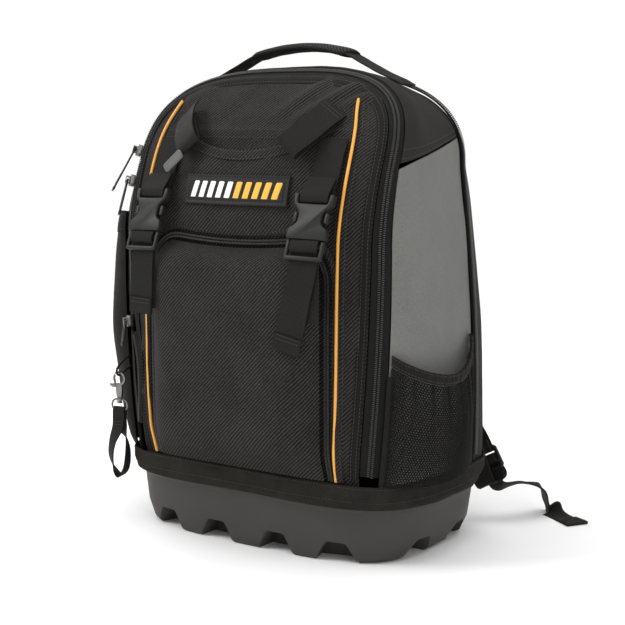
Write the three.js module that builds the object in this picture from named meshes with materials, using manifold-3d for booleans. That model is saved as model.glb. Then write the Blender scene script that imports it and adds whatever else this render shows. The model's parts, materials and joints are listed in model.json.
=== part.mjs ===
// A work backpack with a moulded base: cloth body, front pockets, side pockets, webbing, buckles,
// zips with sliders and pulls, a carrying handle, two shoulder straps and a clip on a webbing fob.
// Millimetres. +X is to the right of someone who faces the front, +Y points to the wearer's back, +Z up.
// The origin is the middle of the face that the base stands on.
import * as THREE from "three";
import { mergeVertices } from "three/addons/utils/BufferGeometryUtils.js";
import Module from "manifold-3d";

const wasm = await Module();
wasm.setup();

// Driving sizes
const bagHalfWidth = 176;
const bagDepth = 198; // front zip to back panel
const bagHeight = 467; // floor to the top of the front zip
const frontZipY = -98;
const shoulderHeight = 370;
const cloth = 2.4;
const frontCrown = 17; // how far the front panel stands proud of its zip
const gap = 0.4; // between pieces that touch

const bodyLift = 4;
const baseHeight = 60;
const baseDepth = 212;
const baseWall = 3.5;
const baseFloor = 6;
const notchHeight = 16;
const notchTop = 22;
const notchFoot = 42;
const notchReach = 26;
const notchPitch = 73.5;

const bindingHeight = 23;
const bindingThick = 1.6;

const zipWidth = 10;
const zipThick = 3;
const zipChain = 6;
const pipingDiameter = 3.2;

const pocketTop = 300;
const pocketHalfWidth = 100;
const pocketCorner = 34;
const pocketDepth = 24;

const mouthHeight = 397;
const mouthHalfWidth = 60;
const mouthSag = 10;
const slipDepth = 13;
const slipHalfWidth = 108;

const meshDepth = 22;
const meshTop = 201;
const meshSag = 24;
const meshThick = 1.4;
const elasticHeight = 10;

const panelGape = 10; // how far the unzipped edge of the front panel stands off
const panelPull = 17; // and how far it is pulled in
const gapeBottom = 96;
const gapeTop = 208;

const sleeveTop = 322;
const sleeveDepth = 25;

const webbing = 30;
const webThick = 1.7;
const strapX = 97;

const buckleWidth = 43;
const buckleThick = 9;
const adjusterLength = 26;

const gripHalfLength = 58;
const gripWidth = 32;
const gripThick = 8;

const padWidth = 62;
const padThick = 12;
const strapWebbing = 25;

const pullWidth = 9;

// Seam lines that run up one side, over the top and down the other side, from front to back.
// depth and lean are shares of bagDepth, foot, waist and shoulder of bagHalfWidth, crown of bagHeight.
const SEAM_LINES = [
  { depth: 0.0, foot: 0.775, waist: 0.845, shoulder: 0.865, crown: 1.0, lean: 0.34 },
  { depth: 0.1, foot: 0.905, waist: 0.97, shoulder: 0.93, crown: 1.003, lean: 0.31 },
  { depth: 0.3, foot: 0.965, waist: 1.015, shoulder: 0.93, crown: 1.003, lean: 0.2 },
  { depth: 0.52, foot: 0.985, waist: 1.0, shoulder: 0.905, crown: 0.994, lean: 0.09 },
  { depth: 0.72, foot: 0.98, waist: 0.97, shoulder: 0.88, crown: 0.982, lean: 0.02 },
  { depth: 0.88, foot: 0.95, waist: 0.93, shoulder: 0.815, crown: 0.966, lean: 0.0 },
  { depth: 1.0, foot: 0.86, waist: 0.835, shoulder: 0.715, crown: 0.946, lean: -0.01 },
];
const FRONT_EDGE = 0.5; // where the side cloth starts behind the front zip, in seam lines
const REAR_SEAM = 4;
// How square the arch is at a seam line: 1 is an ellipse, less is squarer.
const archPowerAt = (v) => 0.66 + 0.16 * Math.min(v / 2, 1);
const SIDE_SHARE = 0.6; // share of half a seam line that runs up the side, below the shoulder
const footHeight = baseHeight + 2;

// Closed outline of the base's sections: height above the floor and how far each is set in, at its
// ends and at its front and back, in mm.
const BASE_OUTSIDE = [
  { z: -bodyLift, inset: 21, front: 4 },
  { z: 0, inset: 16, front: 2 },
  { z: notchHeight, inset: 8, front: 1.6 },
  { z: baseHeight - 13, inset: 3, front: 1.6 },
  { z: baseHeight - 11, inset: 0, front: 0 },
  { z: baseHeight, inset: 0, front: 0 },
];
const ledge = notchHeight + 5;
const BASE_INSIDE = [
  { z: baseFloor, inset: 8 + notchReach + 4, front: 2.6 + notchReach + 4 },
  { z: ledge, inset: 8 + notchReach + 3, front: 2.6 + notchReach + 3 },
  { z: ledge + 0.2, inset: 8 + baseWall + 0.5, front: 2.6 + baseWall + 0.5 },
  { z: baseHeight + 1, inset: baseWall, front: baseWall },
];
const OUTLINE_POWER = 3.6;
const OUTLINE_POINTS = 36;

const materials = {
  cordura: cloth_(0x2b2a28, 0.85),
  smooth: cloth_(0x1d1d1d, 0.7),
  grey: cloth_(0x686965, 0.85),
  webbing: cloth_(0x242322, 0.75),
  mesh: cloth_(0x1b1b1b, 0.8),
  binding: cloth_(0x2d2a25, 0.85),
  base: cloth_(0x4b4640, 0.55),
  piping: cloth_(0xe08a2e, 0.6),
  zip: cloth_(0x202020, 0.5),
  plastic: cloth_(0x232220, 0.45),
  rubber: cloth_(0x2a2927, 0.6),
  metal: new THREE.MeshStandardMaterial({ color: 0x8d8a84, roughness: 0.35, metalness: 1 }),
};

function cloth_(color, roughness) {
  return new THREE.MeshStandardMaterial({ color, roughness, metalness: 0 });
}

const V = (x, y, z) => new THREE.Vector3(x, y, z);
const lerp = THREE.MathUtils.lerp;
const clamp = THREE.MathUtils.clamp;
const smooth = (s) => {
  const k = clamp(s, 0, 1);
  return k * k * (3 - 2 * k);
};

// A closed surface from points and triangles, with its faces turned outwards.
function closedSurface(points, triangles) {
  let volume = 0;
  for (const [a, b, c] of triangles) {
    volume += points[a].dot(points[b].clone().cross(points[c]));
  }
  const flat = [];
  for (const [a, b, c] of triangles) {
    for (const k of volume > 0 ? [a, b, c] : [a, c, b]) flat.push(points[k].x, points[k].y, points[k].z);
  }
  const geometry = new THREE.BufferGeometry();
  geometry.setAttribute("position", new THREE.Float32BufferAttribute(flat, 3));
  geometry.computeVertexNormals();
  return geometry;
}

// Rows of points as one grid: u runs along the rows' index, v along each row.
function gridOf(rows, columns, place) {
  const grid = [];
  for (let i = 0; i <= rows; i++) {
    const row = [];
    for (let j = 0; j <= columns; j++) row.push(place(i / rows, j / columns));
    grid.push(row);
  }
  return grid;
}

function gridNormal(grid, i, j) {
  const rows = grid.length - 1;
  const columns = grid[0].length - 1;
  const along = grid[Math.min(i + 1, rows)][j].clone().sub(grid[Math.max(i - 1, 0)][j]);
  const across = grid[i][Math.min(j + 1, columns)].clone().sub(grid[i][Math.max(j - 1, 0)]);
  return along.cross(across).normalize();
}

// A cloth wall: the grid is its outer face, and the inner face lies a thickness behind it.
function sheet(grid, thickness) {
  const rows = grid.length;
  const columns = grid[0].length;
  const points = [];
  for (const side of [0, 1]) {
    for (let i = 0; i < rows; i++) {
      for (let j = 0; j < columns; j++) {
        points.push(grid[i][j].clone().addScaledVector(gridNormal(grid, i, j), -thickness * side));
      }
    }
  }
  const at = (side, i, j) => side * rows * columns + i * columns + j;
  const triangles = [];
  const quad = (a, b, c, d) => triangles.push([a, b, c], [a, c, d]);
  for (let i = 0; i < rows - 1; i++) {
    for (let j = 0; j < columns - 1; j++) {
      quad(at(0, i, j), at(0, i + 1, j), at(0, i + 1, j + 1), at(0, i, j + 1));
      quad(at(1, i, j), at(1, i, j + 1), at(1, i + 1, j + 1), at(1, i + 1, j));
    }
  }
  for (let i = 0; i < rows - 1; i++) {
    quad(at(0, i, 0), at(1, i, 0), at(1, i + 1, 0), at(0, i + 1, 0));
    quad(at(0, i, columns - 1), at(0, i + 1, columns - 1), at(1, i + 1, columns - 1), at(1, i, columns - 1));
  }
  for (let j = 0; j < columns - 1; j++) {
    quad(at(0, 0, j), at(0, 0, j + 1), at(1, 0, j + 1), at(1, 0, j));
    quad(at(0, rows - 1, j), at(1, rows - 1, j), at(1, rows - 1, j + 1), at(0, rows - 1, j + 1));
  }
  return closedSurface(points, triangles);
}

// A solid through closed sections with the same number of points. A ring joins its last to its first.
function loft(sections, ring = false) {
  const count = sections[0].length;
  const points = sections.flat();
  const triangles = [];
  const steps = ring ? sections.length : sections.length - 1;
  for (let i = 0; i < steps; i++) {
    const next = (i + 1) % sections.length;
    for (let j = 0; j < count; j++) {
      const k = (j + 1) % count;
      triangles.push([i * count + j, next * count + j, next * count + k]);
      triangles.push([i * count + j, next * count + k, i * count + k]);
    }
  }
  if (!ring) {
    for (const [row, turn] of [[0, false], [sections.length - 1, true]]) {
      for (let j = 1; j < count - 1; j++) {
        const [a, b, c] = [row * count, row * count + j, row * count + j + 1];
        triangles.push(turn ? [a, c, b] : [a, b, c]);
      }
    }
  }
  return closedSurface(points, triangles);
}

// A band of the given width along a line, with the direction of its width at each of the line's points.
function ribbon(line, width, thickness, steps, ring = false) {
  const path = new THREE.CatmullRomCurve3(line.map((p) => V(...p.at)), ring, "centripetal");
  const acrossLine = new THREE.CatmullRomCurve3(line.map((p) => V(...p.across)), ring, "catmullrom");
  const sections = [];
  for (let i = 0; i <= steps - (ring ? 1 : 0); i++) {
    const point = path.getPoint(i / steps);
    const ahead = path.getTangent(i / steps);
    const across = acrossLine.getPoint(i / steps);
    across.addScaledVector(ahead, -across.dot(ahead)).normalize();
    const out = ahead.clone().cross(across).normalize();
    const corner = (a, b) =>
      point.clone().addScaledVector(across, a * width / 2).addScaledVector(out, b * thickness / 2);
    sections.push([corner(-1, -1), corner(1, -1), corner(1, 1), corner(-1, 1)]);
  }
  return loft(sections, ring);
}

// A round or flattened rod along points that already lie on a smooth line.
function rod(points, halfWidth, halfHeight, sides, upAt) {
  const sections = points.map((point, i) => {
    const ahead = points[Math.min(i + 1, points.length - 1)].clone().sub(points[Math.max(i - 1, 0)]).normalize();
    const up = upAt(i);
    up.addScaledVector(ahead, -up.dot(ahead)).normalize();
    const across = ahead.clone().cross(up);
    const ring = [];
    for (let k = 0; k < sides; k++) {
      const angle = (2 * Math.PI * (k + 0.5)) / sides;
      ring.push(
        point.clone()
          .addScaledVector(across, halfWidth * Math.cos(angle))
          .addScaledVector(up, halfHeight * Math.sin(angle)),
      );
    }
    return ring;
  });
  return loft(sections);
}

function asSolid(geometry) {
  const bare = geometry.index ? geometry.toNonIndexed() : geometry.clone();
  bare.deleteAttribute("normal");
  bare.deleteAttribute("uv");
  const merged = mergeVertices(bare, 1e-3);
  return new wasm.Manifold(
    new wasm.Mesh({
      numProp: 3,
      vertProperties: merged.attributes.position.array,
      triVerts: new Uint32Array(merged.index.array),
    }),
  );
}

function asGeometry(solid) {
  const made = solid.getMesh();
  const geometry = new THREE.BufferGeometry();
  geometry.setAttribute("position", new THREE.BufferAttribute(new Float32Array(made.vertProperties), 3));
  geometry.setIndex(new THREE.BufferAttribute(new Uint32Array(made.triVerts), 1));
  geometry.computeVertexNormals();
  return geometry;
}

function minus(geometry, ...cutters) {
  return asGeometry(cutters.reduce((solid, cutter) => solid.subtract(asSolid(cutter)), asSolid(geometry)));
}

function plus(geometry, ...others) {
  return asGeometry(others.reduce((solid, other) => solid.add(asSolid(other)), asSolid(geometry)));
}

function box(width, depth, height, x = 0, y = 0, z = 0) {
  return new THREE.BoxGeometry(width, depth, height).translate(x, y, z);
}

// Heights in the tables and functions are counted from bodyLift above the floor.
const bag = new THREE.Group();
const body = new THREE.Group();
body.position.z = bodyLift;
bag.add(body);

function add(name, geometry, material, parent = body) {
  const mesh = new THREE.Mesh(geometry, material);
  mesh.name = name;
  parent.add(mesh);
  return mesh;
}

// A seam line between two rows of the table, by a smooth curve through its neighbours.
function seamAt(v) {
  const last = SEAM_LINES.length - 1;
  const i = clamp(Math.floor(v), 0, last - 1);
  const s = v - i;
  const row = (k) => SEAM_LINES[clamp(k, 0, last)];
  const blend = {};
  for (const key of Object.keys(SEAM_LINES[0])) {
    const [a, b, c, d] = [row(i - 1)[key], row(i)[key], row(i + 1)[key], row(i + 2)[key]];
    blend[key] =
      b + 0.5 * s * (c - a + s * (2 * a - 5 * b + 4 * c - d + s * (3 * (b - c) + d - a)));
  }
  return blend;
}

// How far up the leaning part of the body a height is, from 0 to 1.
const leanStart = 300;
const leanAt = (z) => Math.pow(clamp((z - leanStart) / (bagHeight - leanStart), 0, 1.1), 1.7);

// A point of the body's side and top: t runs from the left foot over the top to the right foot,
// v from the front zip to the back panel, and lift stands off the cloth.
function bodyPoint(t, v, lift = 0) {
  const seam = seamAt(v);
  const side = t < 0.5 ? -1 : 1;
  const climb = 1 - Math.abs(2 * t - 1);
  const shoulder = seam.shoulder * bagHalfWidth;
  const crown = seam.crown * bagHeight;
  let x;
  let z;
  if (climb <= SIDE_SHARE) {
    const k = climb / SIDE_SHARE;
    const foot = seam.foot * bagHalfWidth;
    const waist = seam.waist * bagHalfWidth;
    x = foot * (1 - k) * (1 - 2 * k) + waist * 4 * k * (1 - k) + shoulder * k * (2 * k - 1);
    z = lerp(footHeight, shoulderHeight, k);
  } else {
    const angle = ((climb - SIDE_SHARE) / (1 - SIDE_SHARE)) * (Math.PI / 2);
    x = shoulder * Math.pow(Math.cos(angle), archPowerAt(v));
    z = lerp(shoulderHeight, crown, Math.pow(Math.sin(angle), archPowerAt(v)));
  }
  const y = frontZipY + bagDepth * (seam.depth + seam.lean * leanAt(z));
  const point = V(side * x, y, z);
  return lift ? point.addScaledVector(bodyNormal(t, v), lift) : point;
}

function bodyNormal(t, v) {
  const e = 0.004;
  const f = 0.04;
  const last = SEAM_LINES.length - 1;
  const around = bodyPoint(Math.min(t + e, 1), v).sub(bodyPoint(Math.max(t - e, 0), v));
  const back = bodyPoint(t, Math.min(v + f, last)).sub(bodyPoint(t, Math.max(v - f, 0)));
  return around.cross(back).normalize();
}

// The place along a seam line, on one side, at a height.
function climbTo(z, v, side = 1) {
  let low = 0;
  let high = 0.5;
  for (let i = 0; i < 24; i++) {
    const mid = (low + high) / 2;
    if (bodyPoint(mid, v).z < z) low = mid;
    else high = mid;
  }
  return side < 0 ? low : 1 - low;
}

// Half the width of the front zip's seam line at a height.
function frontHalfWidth(z) {
  return Math.abs(bodyPoint(climbTo(z, 0), 0).x);
}

// The outer face of the front panel.
function frontPoint(x, z, lift = 0) {
  const across = clamp(Math.abs(x) / frontHalfWidth(z), 0, 1);
  const rise = clamp((z - shoulderHeight) / (bagHeight - shoulderHeight), 0, 1);
  const foot = 0.3 + 0.7 * smooth((z - footHeight) / 50);
  const crown = frontCrown * foot * (1 - Math.pow(across, 6)) * (1 - Math.pow(rise, 4));
  const loose = panelGape * gapeAt(z) * Math.pow(clamp((-x - 100) / 44, 0, 1), 2);
  const y = frontZipY + bagDepth * SEAM_LINES[0].lean * leanAt(z) - crown - loose;
  return V(x, y - lift, z);
}

// How far open the unzipped lower left of the front panel is at a height, from 0 to 1.
function gapeAt(z) {
  return Math.sin(Math.PI * clamp((z - gapeBottom) / (gapeTop - gapeBottom), 0, 1));
}

// The back panel's outer face: across from -1 to 1.
function backPoint(across, z) {
  const last = SEAM_LINES.length - 1;
  const crown = SEAM_LINES[last].crown * bagHeight;
  const rise = clamp((z - shoulderHeight) / (crown - shoulderHeight), 0, 1);
  const half = Math.max(Math.abs(bodyPoint(climbTo(z, last), last).x) - 2.2, 12);
  const y = frontZipY + bagDepth + 6 * (1 - Math.pow(across, 6)) * (1 - Math.pow(rise, 6));
  return V(across * half, y, z - 3 * smooth(rise));
}

// Base and its binding

// Points of the base's outline, set in by a distance at its ends and by another at its front and back.
function baseOutline(inset, front, z) {
  const [a, b] = [bagHalfWidth - 1 - inset, baseDepth / 2 - front];
  const points = [];
  for (let i = 0; i < OUTLINE_POINTS; i++) {
    const angle = (2 * Math.PI * (i + 0.5)) / OUTLINE_POINTS;
    const reach = (value) => Math.sign(value) * Math.pow(Math.abs(value), 2 / OUTLINE_POWER);
    points.push(V(a * reach(Math.cos(angle)), b * reach(Math.sin(angle)), z));
  }
  return points;
}

// The point where a ray from the middle leaves an outline, and its distance.
function outlineReach(outline, angle) {
  const direction = V(Math.cos(angle), Math.sin(angle), 0);
  let reach = 0;
  outline.forEach((p, i) => {
    const q = outline[(i + 1) % outline.length];
    const edge = q.clone().sub(p);
    const turn = direction.x * edge.y - direction.y * edge.x;
    if (Math.abs(turn) < 1e-9) return;
    const distance = (p.x * edge.y - p.y * edge.x) / turn;
    const share = (p.x * direction.y - p.y * direction.x) / turn;
    if (distance > 0 && share >= -1e-6 && share <= 1 + 1e-6) reach = Math.max(reach, distance);
  });
  return reach;
}

// A notch between two lugs of the base: wider at the floor than at its top.
function notchCutter(x, y, facing) {
  const [top, foot] = [notchTop / 2, notchFoot / 2];
  const shape = new THREE.Shape();
  shape.moveTo(-foot, -bodyLift - 1);
  shape.lineTo(foot, -bodyLift - 1);
  shape.lineTo(foot - 3, 3);
  shape.lineTo(top, notchHeight);
  shape.lineTo(-top, notchHeight);
  shape.lineTo(3 - foot, 3);
  shape.closePath();
  const cutter = new THREE.ExtrudeGeometry(shape, { depth: notchReach + 40, bevelEnabled: false });
  cutter.rotateX(Math.PI / 2).translate(0, notchReach, 0).rotateZ(facing + Math.PI / 2);
  return cutter.translate(x, y, 0);
}

function makeBase() {
  const outside = loft(BASE_OUTSIDE.map((row) => baseOutline(row.inset, row.front, row.z)));
  const inside = loft(BASE_INSIDE.map((row) => baseOutline(row.inset, row.front, row.z)));
  const cutters = [];
  const edge = (angle) => outlineReach(baseOutline(BASE_OUTSIDE[2].inset, BASE_OUTSIDE[2].front, 0), angle);
  const place = (angle, facing) => {
    const reach = edge(angle);
    cutters.push(notchCutter(reach * Math.cos(angle), reach * Math.sin(angle), facing));
  };
  for (const end of [-1, 1]) {
    const depth = (baseDepth / 2 - BASE_OUTSIDE[2].front) * end;
    for (const k of [-1.5, -0.5, 0.5, 1.5]) {
      place(Math.atan2(depth, k * notchPitch), (end * Math.PI) / 2 - (Math.sign(k) * end * (Math.abs(k) > 1 ? 0.28 : 0)));
    }
    const width = (bagHalfWidth - BASE_OUTSIDE[2].inset) * end;
    for (const k of [-0.5, 0.5]) place(Math.atan2(k * notchPitch, width), end > 0 ? 0 : Math.PI);
  }
  add("moulded_base", minus(outside, inside, ...cutters), materials.base);
}

// The body's outline at a height, walked from the front panel round the sides to the back.
function bodyOutline(z) {
  const points = [];
  const last = SEAM_LINES.length - 1;
  for (let i = -6; i <= 6; i++) points.push(frontPoint((i / 6.5) * frontHalfWidth(z), z));
  for (let v = 0; v <= last; v += 0.5) points.push(bodyPoint(climbTo(z, v), v));
  for (let i = -4; i <= 4; i++) points.push(backPoint(-i / 4.4, z));
  for (let v = last; v >= 0; v -= 0.5) points.push(bodyPoint(climbTo(z, v, -1), v));
  return points;
}

const BINDING_STEPS = 46;

// The furthest reach of some outlines along a direction, also between the directions beside it.
function envelope(outlines, angle, spread) {
  let reach = 0;
  for (const share of [-1, -0.5, 0, 0.5, 1]) {
    for (const outline of outlines) reach = Math.max(reach, outlineReach(outline, angle + share * spread));
  }
  return reach;
}

function makeBinding() {
  const low = baseOutline(0, 0, 0);
  const top = baseHeight - 7 + bindingHeight;
  const body = [footHeight, (footHeight + top) / 2, top].map(bodyOutline);
  const spread = (2 * Math.PI) / BINDING_STEPS;
  const angles = Array.from({ length: BINDING_STEPS }, (_, i) => (i + 0.5) * spread);
  const sections = angles.map((angle) => {
    const direction = V(Math.cos(angle), Math.sin(angle), 0);
    const foot = envelope([low], angle, spread * 0.5) + gap * 4;
    const high = Math.max(envelope(body, angle, spread * 0.4) + gap * 3, foot - 1);
    const ring = [
      [foot, baseHeight - 7],
      [foot + bindingThick, baseHeight - 7],
      [high + bindingThick, baseHeight + 1],
      [high + bindingThick, top],
      [high, top],
      [high, baseHeight + 1],
    ];
    return ring.map(([reach, z]) => direction.clone().multiplyScalar(reach).setZ(z));
  });
  add("base_binding", loft(sections, true), materials.binding);
}

// Body cloth

// Columns of a panel that fills an arch: heights up the sides, then round the shoulder to the crown.
function archHeights(crown, sideSteps, archSteps, foot = footHeight) {
  const heights = [];
  for (let i = 0; i < sideSteps; i++) heights.push(lerp(foot, shoulderHeight, i / sideSteps));
  for (let i = 0; i <= archSteps; i++) {
    const angle = (i / archSteps) * (Math.PI / 2) * 0.93;
    heights.push(lerp(shoulderHeight, crown, Math.sin(angle)));
  }
  return heights;
}

// The front panel's edge, inside the seam line by the zip's half.
const panelInset = zipWidth / 2 + 2;

function panelEdge(t) {
  const seam = bodyPoint(t, 0);
  const ahead = bodyPoint(Math.min(t + 0.003, 1), 0).sub(bodyPoint(Math.max(t - 0.003, 0), 0));
  const inward = V(ahead.z, 0, -ahead.x).normalize().multiplyScalar(panelInset);
  const place = seam.add(inward);
  return frontPoint(place.x, place.z);
}

const PANEL_COLUMNS = [-1, -0.94, -0.87, -0.79, -0.66, -0.35, 0, 0.35, 0.66, 0.8, 0.9, 1];

const PANEL_HEIGHTS = [footHeight, 76, 90, 112, 145, 178, 210, 270, 320, 348];

// The unzipped edge of the front panel is pulled in.
const pulledIn = (x, z) => x + panelPull * gapeAt(z) * Math.pow(clamp((-x - 119) / 24, 0, 1), 1.4);

function makeFrontPanel() {
  const climbs = PANEL_HEIGHTS.map((z) => climbTo(z, 0, -1));
  for (let i = 0; i <= 6; i++) climbs.push((SIDE_SHARE + (0.97 - SIDE_SHARE) * (i / 6)) / 2);
  const grid = gridOf(PANEL_COLUMNS.length - 1, climbs.length - 1, (u, v) => {
    const edge = panelEdge(climbs[Math.round(v * (climbs.length - 1))]);
    const x = PANEL_COLUMNS[Math.round(u * (PANEL_COLUMNS.length - 1))] * Math.abs(edge.x);
    const point = frontPoint(x, edge.z);
    point.x = pulledIn(x, edge.z);
    return point;
  });
  add("front_panel", sheet(grid, cloth), materials.cordura);
}

// Where the black cloth of the top ends and the side cloth starts, sloping up to the back.
function yokeEdge(v, side) {
  const share = (v - FRONT_EDGE) / (REAR_SEAM - FRONT_EDGE);
  return climbTo(lerp(shoulderHeight + 4, shoulderHeight + 30, share), v, side);
}

function makeSides() {
  const from = FRONT_EDGE;
  const to = REAR_SEAM - 0.09;
  const seam = 0.0012;
  const depthOf = (k) => lerp(from, to, k);
  const side = (name, sign, material) => {
    const grid = gridOf(8, 5, (u, k) => {
      const v = depthOf(k);
      const top = yokeEdge(v, sign);
      return sign < 0 ? bodyPoint(lerp(0, top - seam, u), v) : bodyPoint(lerp(top + seam, 1, u), v);
    });
    add(name, sheet(grid, cloth), material);
  };
  side("side_panel_left", -1, materials.smooth);
  side("side_panel_right", 1, materials.grey);
  const top = gridOf(14, 5, (u, k) => {
    const v = depthOf(k);
    return bodyPoint(lerp(yokeEdge(v, -1) + seam, yokeEdge(v, 1) - seam, u), v);
  });
  add("top_yoke", sheet(top, cloth), materials.smooth);
}

function makeRear() {
  const last = SEAM_LINES.length - 1;
  const grid = gridOf(22, 4, (u, k) => bodyPoint(u, lerp(REAR_SEAM + 0.09, last - 0.05, k)));
  add("rear_compartment", sheet(grid, cloth), materials.smooth);
  const heights = archHeights(SEAM_LINES[last].crown * bagHeight, 5, 6);
  const panel = gridOf(heights.length - 1, 8, (u, k) => {
    return backPoint(2 * k - 1, heights[Math.round(u * (heights.length - 1))]);
  });
  add("back_panel", sheet(panel, cloth * 3), materials.smooth);
}

// Zips and piping

// A zip between two edges, its chain raised above the cloth.
function zipBetween(edges, steps) {
  const rows = [];
  for (let i = 0; i <= steps; i++) rows.push(edges(i / steps));
  const middles = rows.map(([a, b]) => a.clone().lerp(b, 0.5));
  return loft(
    rows.map(([a, b], i) => {
      const ahead = middles[Math.min(i + 1, steps)].clone().sub(middles[Math.max(i - 1, 0)]).normalize();
      const across = b.clone().sub(a);
      across.addScaledVector(ahead, -across.dot(ahead));
      const half = across.length() / 2 - gap * 3.8;
      across.normalize();
      const out = ahead.clone().cross(across);
      const profile = [
        [-half, -cloth * 0.8], [half, -cloth * 0.8], [half, -0.3],
        [zipChain / 2, zipThick / 2], [-zipChain / 2, zipThick / 2], [-half, -0.3],
      ];
      return profile.map(([x, z]) => middles[i].clone().addScaledVector(across, x).addScaledVector(out, z));
    }),
  );
}

const zipFoot = climbTo(baseHeight + bindingHeight + 18, 0, -1);
const sliderClimb = climbTo(gapeTop + 2, 0, -1);

function makeBodyZips() {
  const front = (u) => {
    const t = lerp(sliderClimb, 1 - zipFoot, u);
    return [panelEdge(t), bodyPoint(t, FRONT_EDGE)];
  };
  add("front_zip", zipBetween(front, 30), materials.zip);
  const rear = (u) => {
    const t = lerp(zipFoot, 1 - zipFoot, u);
    return [bodyPoint(t, REAR_SEAM - 0.13, 3.4), bodyPoint(t, REAR_SEAM + 0.13, 3.4)];
  };
  add("rear_zip", zipBetween(rear, 24), materials.zip);
}

// The two rows of the unzipped part, each on its own edge, and the lining that shows between them.
const GAPE_HEIGHTS = [104, 116, 132, 150, 168, 186, 199];

function makeOpenZip() {
  const panelSide = GAPE_HEIGHTS.map((z) => {
    const edge = panelEdge(climbTo(z, 0, -1));
    const place = frontPoint(edge.x, edge.z);
    return { at: [pulledIn(edge.x, z) - 4.6, place.y + 0.6, z], across: [1, -0.3, 0] };
  });
  const bodySide = GAPE_HEIGHTS.map((z) => {
    const t = climbTo(z, FRONT_EDGE, -1);
    const edge = bodyPoint(t, FRONT_EDGE);
    const ahead = bodyPoint(t, 0.1).sub(edge).normalize();
    return { at: edge.addScaledVector(ahead, 4).toArray(), across: ahead.toArray() };
  });
  add("open_zip_panel_side", ribbon(panelSide, 6.5, 2, 12), materials.zip);
  add("open_zip_body_side", ribbon(bodySide, 6.5, 2, 12), materials.zip);
  const lining = gridOf(7, 5, (u, k) => {
    const z = lerp(80, 236, u);
    const near = frontPoint(-96, z).add(V(0, 3.7, 0));
    const far = bodyPoint(climbTo(z, FRONT_EDGE, -1), FRONT_EDGE).add(V(7, 5, 0));
    const place = near.lerp(far, k);
    place.y -= 5 * Math.sin(Math.PI * k) * gapeAt(z);
    return place;
  });
  add("grey_lining", sheet(lining, 1.6), materials.grey);
}

// The piping's line up the front: shares of its height, and how far out it lies.
const pipingOut = 116;
const PIPING_LINE = [
  { height: 0.0, out: 0.955 },
  { height: 0.2, out: 0.985 },
  { height: 0.5, out: 1.0 },
  { height: 0.75, out: 1.015 },
  { height: 0.9, out: 1.0 },
  { height: 1.0, out: 0.92 },
];

function makePiping(side) {
  const foot = baseHeight - 7 + bindingHeight + 2;
  const top = bagHeight - 32;
  const out = new THREE.CatmullRomCurve3(PIPING_LINE.map((row) => V(row.out * pipingOut, 0, row.height)));
  const points = [];
  const steps = 14;
  for (let i = 0; i <= steps; i++) {
    const place = out.getPoint(i / steps);
    const z = lerp(foot, top, clamp(place.z, 0, 1));
    points.push(frontPoint(side * place.x, z, pipingDiameter / 2 + gap * 1.6));
  }
  const radius = pipingDiameter / 2;
  return rod(points, radius, radius, 5, () => V(0, -1, 0));
}

// Front pockets

// The lower pocket's face: a pillow on the front panel, open along its left edge.
const pocketFoot = baseHeight - 7 + bindingHeight + 2;

function pocketHalfAt(z) {
  const down = clamp((z - (pocketTop - pocketCorner)) / pocketCorner, 0, 1);
  return pocketHalfWidth - pocketCorner * (1 - Math.sqrt(1 - down * down * 0.96));
}

function pocketPoint(across, z, lift = 0) {
  const x = across * pocketHalfAt(z);
  const share = clamp((z - pocketFoot) / (pocketTop - pocketFoot), 0, 1);
  const wall = 1 - Math.pow(Math.abs(across), 8);
  const topWall = 1 - Math.pow(clamp((share - 0.8) / 0.2, 0, 1), 4);
  const bottomWall = smooth(share / 0.22 + 0.12);
  const depth = 4 + (pocketDepth - 4) * wall * topWall * bottomWall;
  return frontPoint(x, z, depth + lift);
}

function makeFrontPocket() {
  const heights = [];
  for (let i = 0; i <= 6; i++) heights.push(lerp(pocketFoot, pocketTop - pocketCorner, i / 6));
  for (let i = 1; i <= 4; i++) heights.push(pocketTop - pocketCorner * (1 - Math.sin((i / 4) * 1.5)));
  const columns = [-1, -0.97, -0.9, -0.75, -0.45, -0.15, 0.15, 0.45, 0.75, 0.9, 0.97, 1];
  const grid = gridOf(columns.length - 1, heights.length - 1, (u, k) => {
    const z = heights[Math.round(k * (heights.length - 1))];
    return pocketPoint(columns[Math.round(u * (columns.length - 1))], z, cloth);
  });
  add("front_pocket", sheet(grid, cloth), materials.cordura);
}

// The pocket's zip runs just outside its edge, from the left foot over the top to the right foot.
function pocketZipPoint(u) {
  const corner = pocketCorner + zipWidth * 0.36 + 1.6;
  const reach = pocketHalfWidth - pocketCorner + corner;
  const quarter = (Math.PI / 2) * pocketCorner;
  const flat = 2 * (pocketHalfWidth - pocketCorner);
  const middle = pocketTop - pocketCorner;
  const leg = middle - pocketFoot;
  const walk = u * (2 * leg + 2 * quarter + flat);
  const half = leg + quarter + flat / 2;
  const side = walk < half ? -1 : 1;
  const s = half - Math.abs(walk - half);
  if (s < leg) return [side * reach, pocketFoot + s];
  const angle = ((s - leg) / quarter) * (Math.PI / 2);
  if (s < leg + quarter) {
    return [side * (reach - corner + corner * Math.cos(angle)), middle + corner * Math.sin(angle)];
  }
  return [side * (reach - corner - (s - leg - quarter)), middle + corner];
}

function makePocketZip() {
  const half = zipWidth * 0.36 + gap;
  const edges = (u) => {
    const [x, z] = pocketZipPoint(u);
    const [nextX, nextZ] = pocketZipPoint(Math.min(u + 0.001, 1));
    const [lastX, lastZ] = pocketZipPoint(Math.max(u - 0.001, 0));
    const length = Math.hypot(nextX - lastX, nextZ - lastZ);
    const [a, b] = [((nextZ - lastZ) / length) * half, (-(nextX - lastX) / length) * half];
    const at = (side) => frontPoint(x + side * a, z + side * b, cloth + gap);
    return [at(1), at(-1)];
  };
  add("pocket_zip", zipBetween(edges, 28), materials.zip);
}

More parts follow.
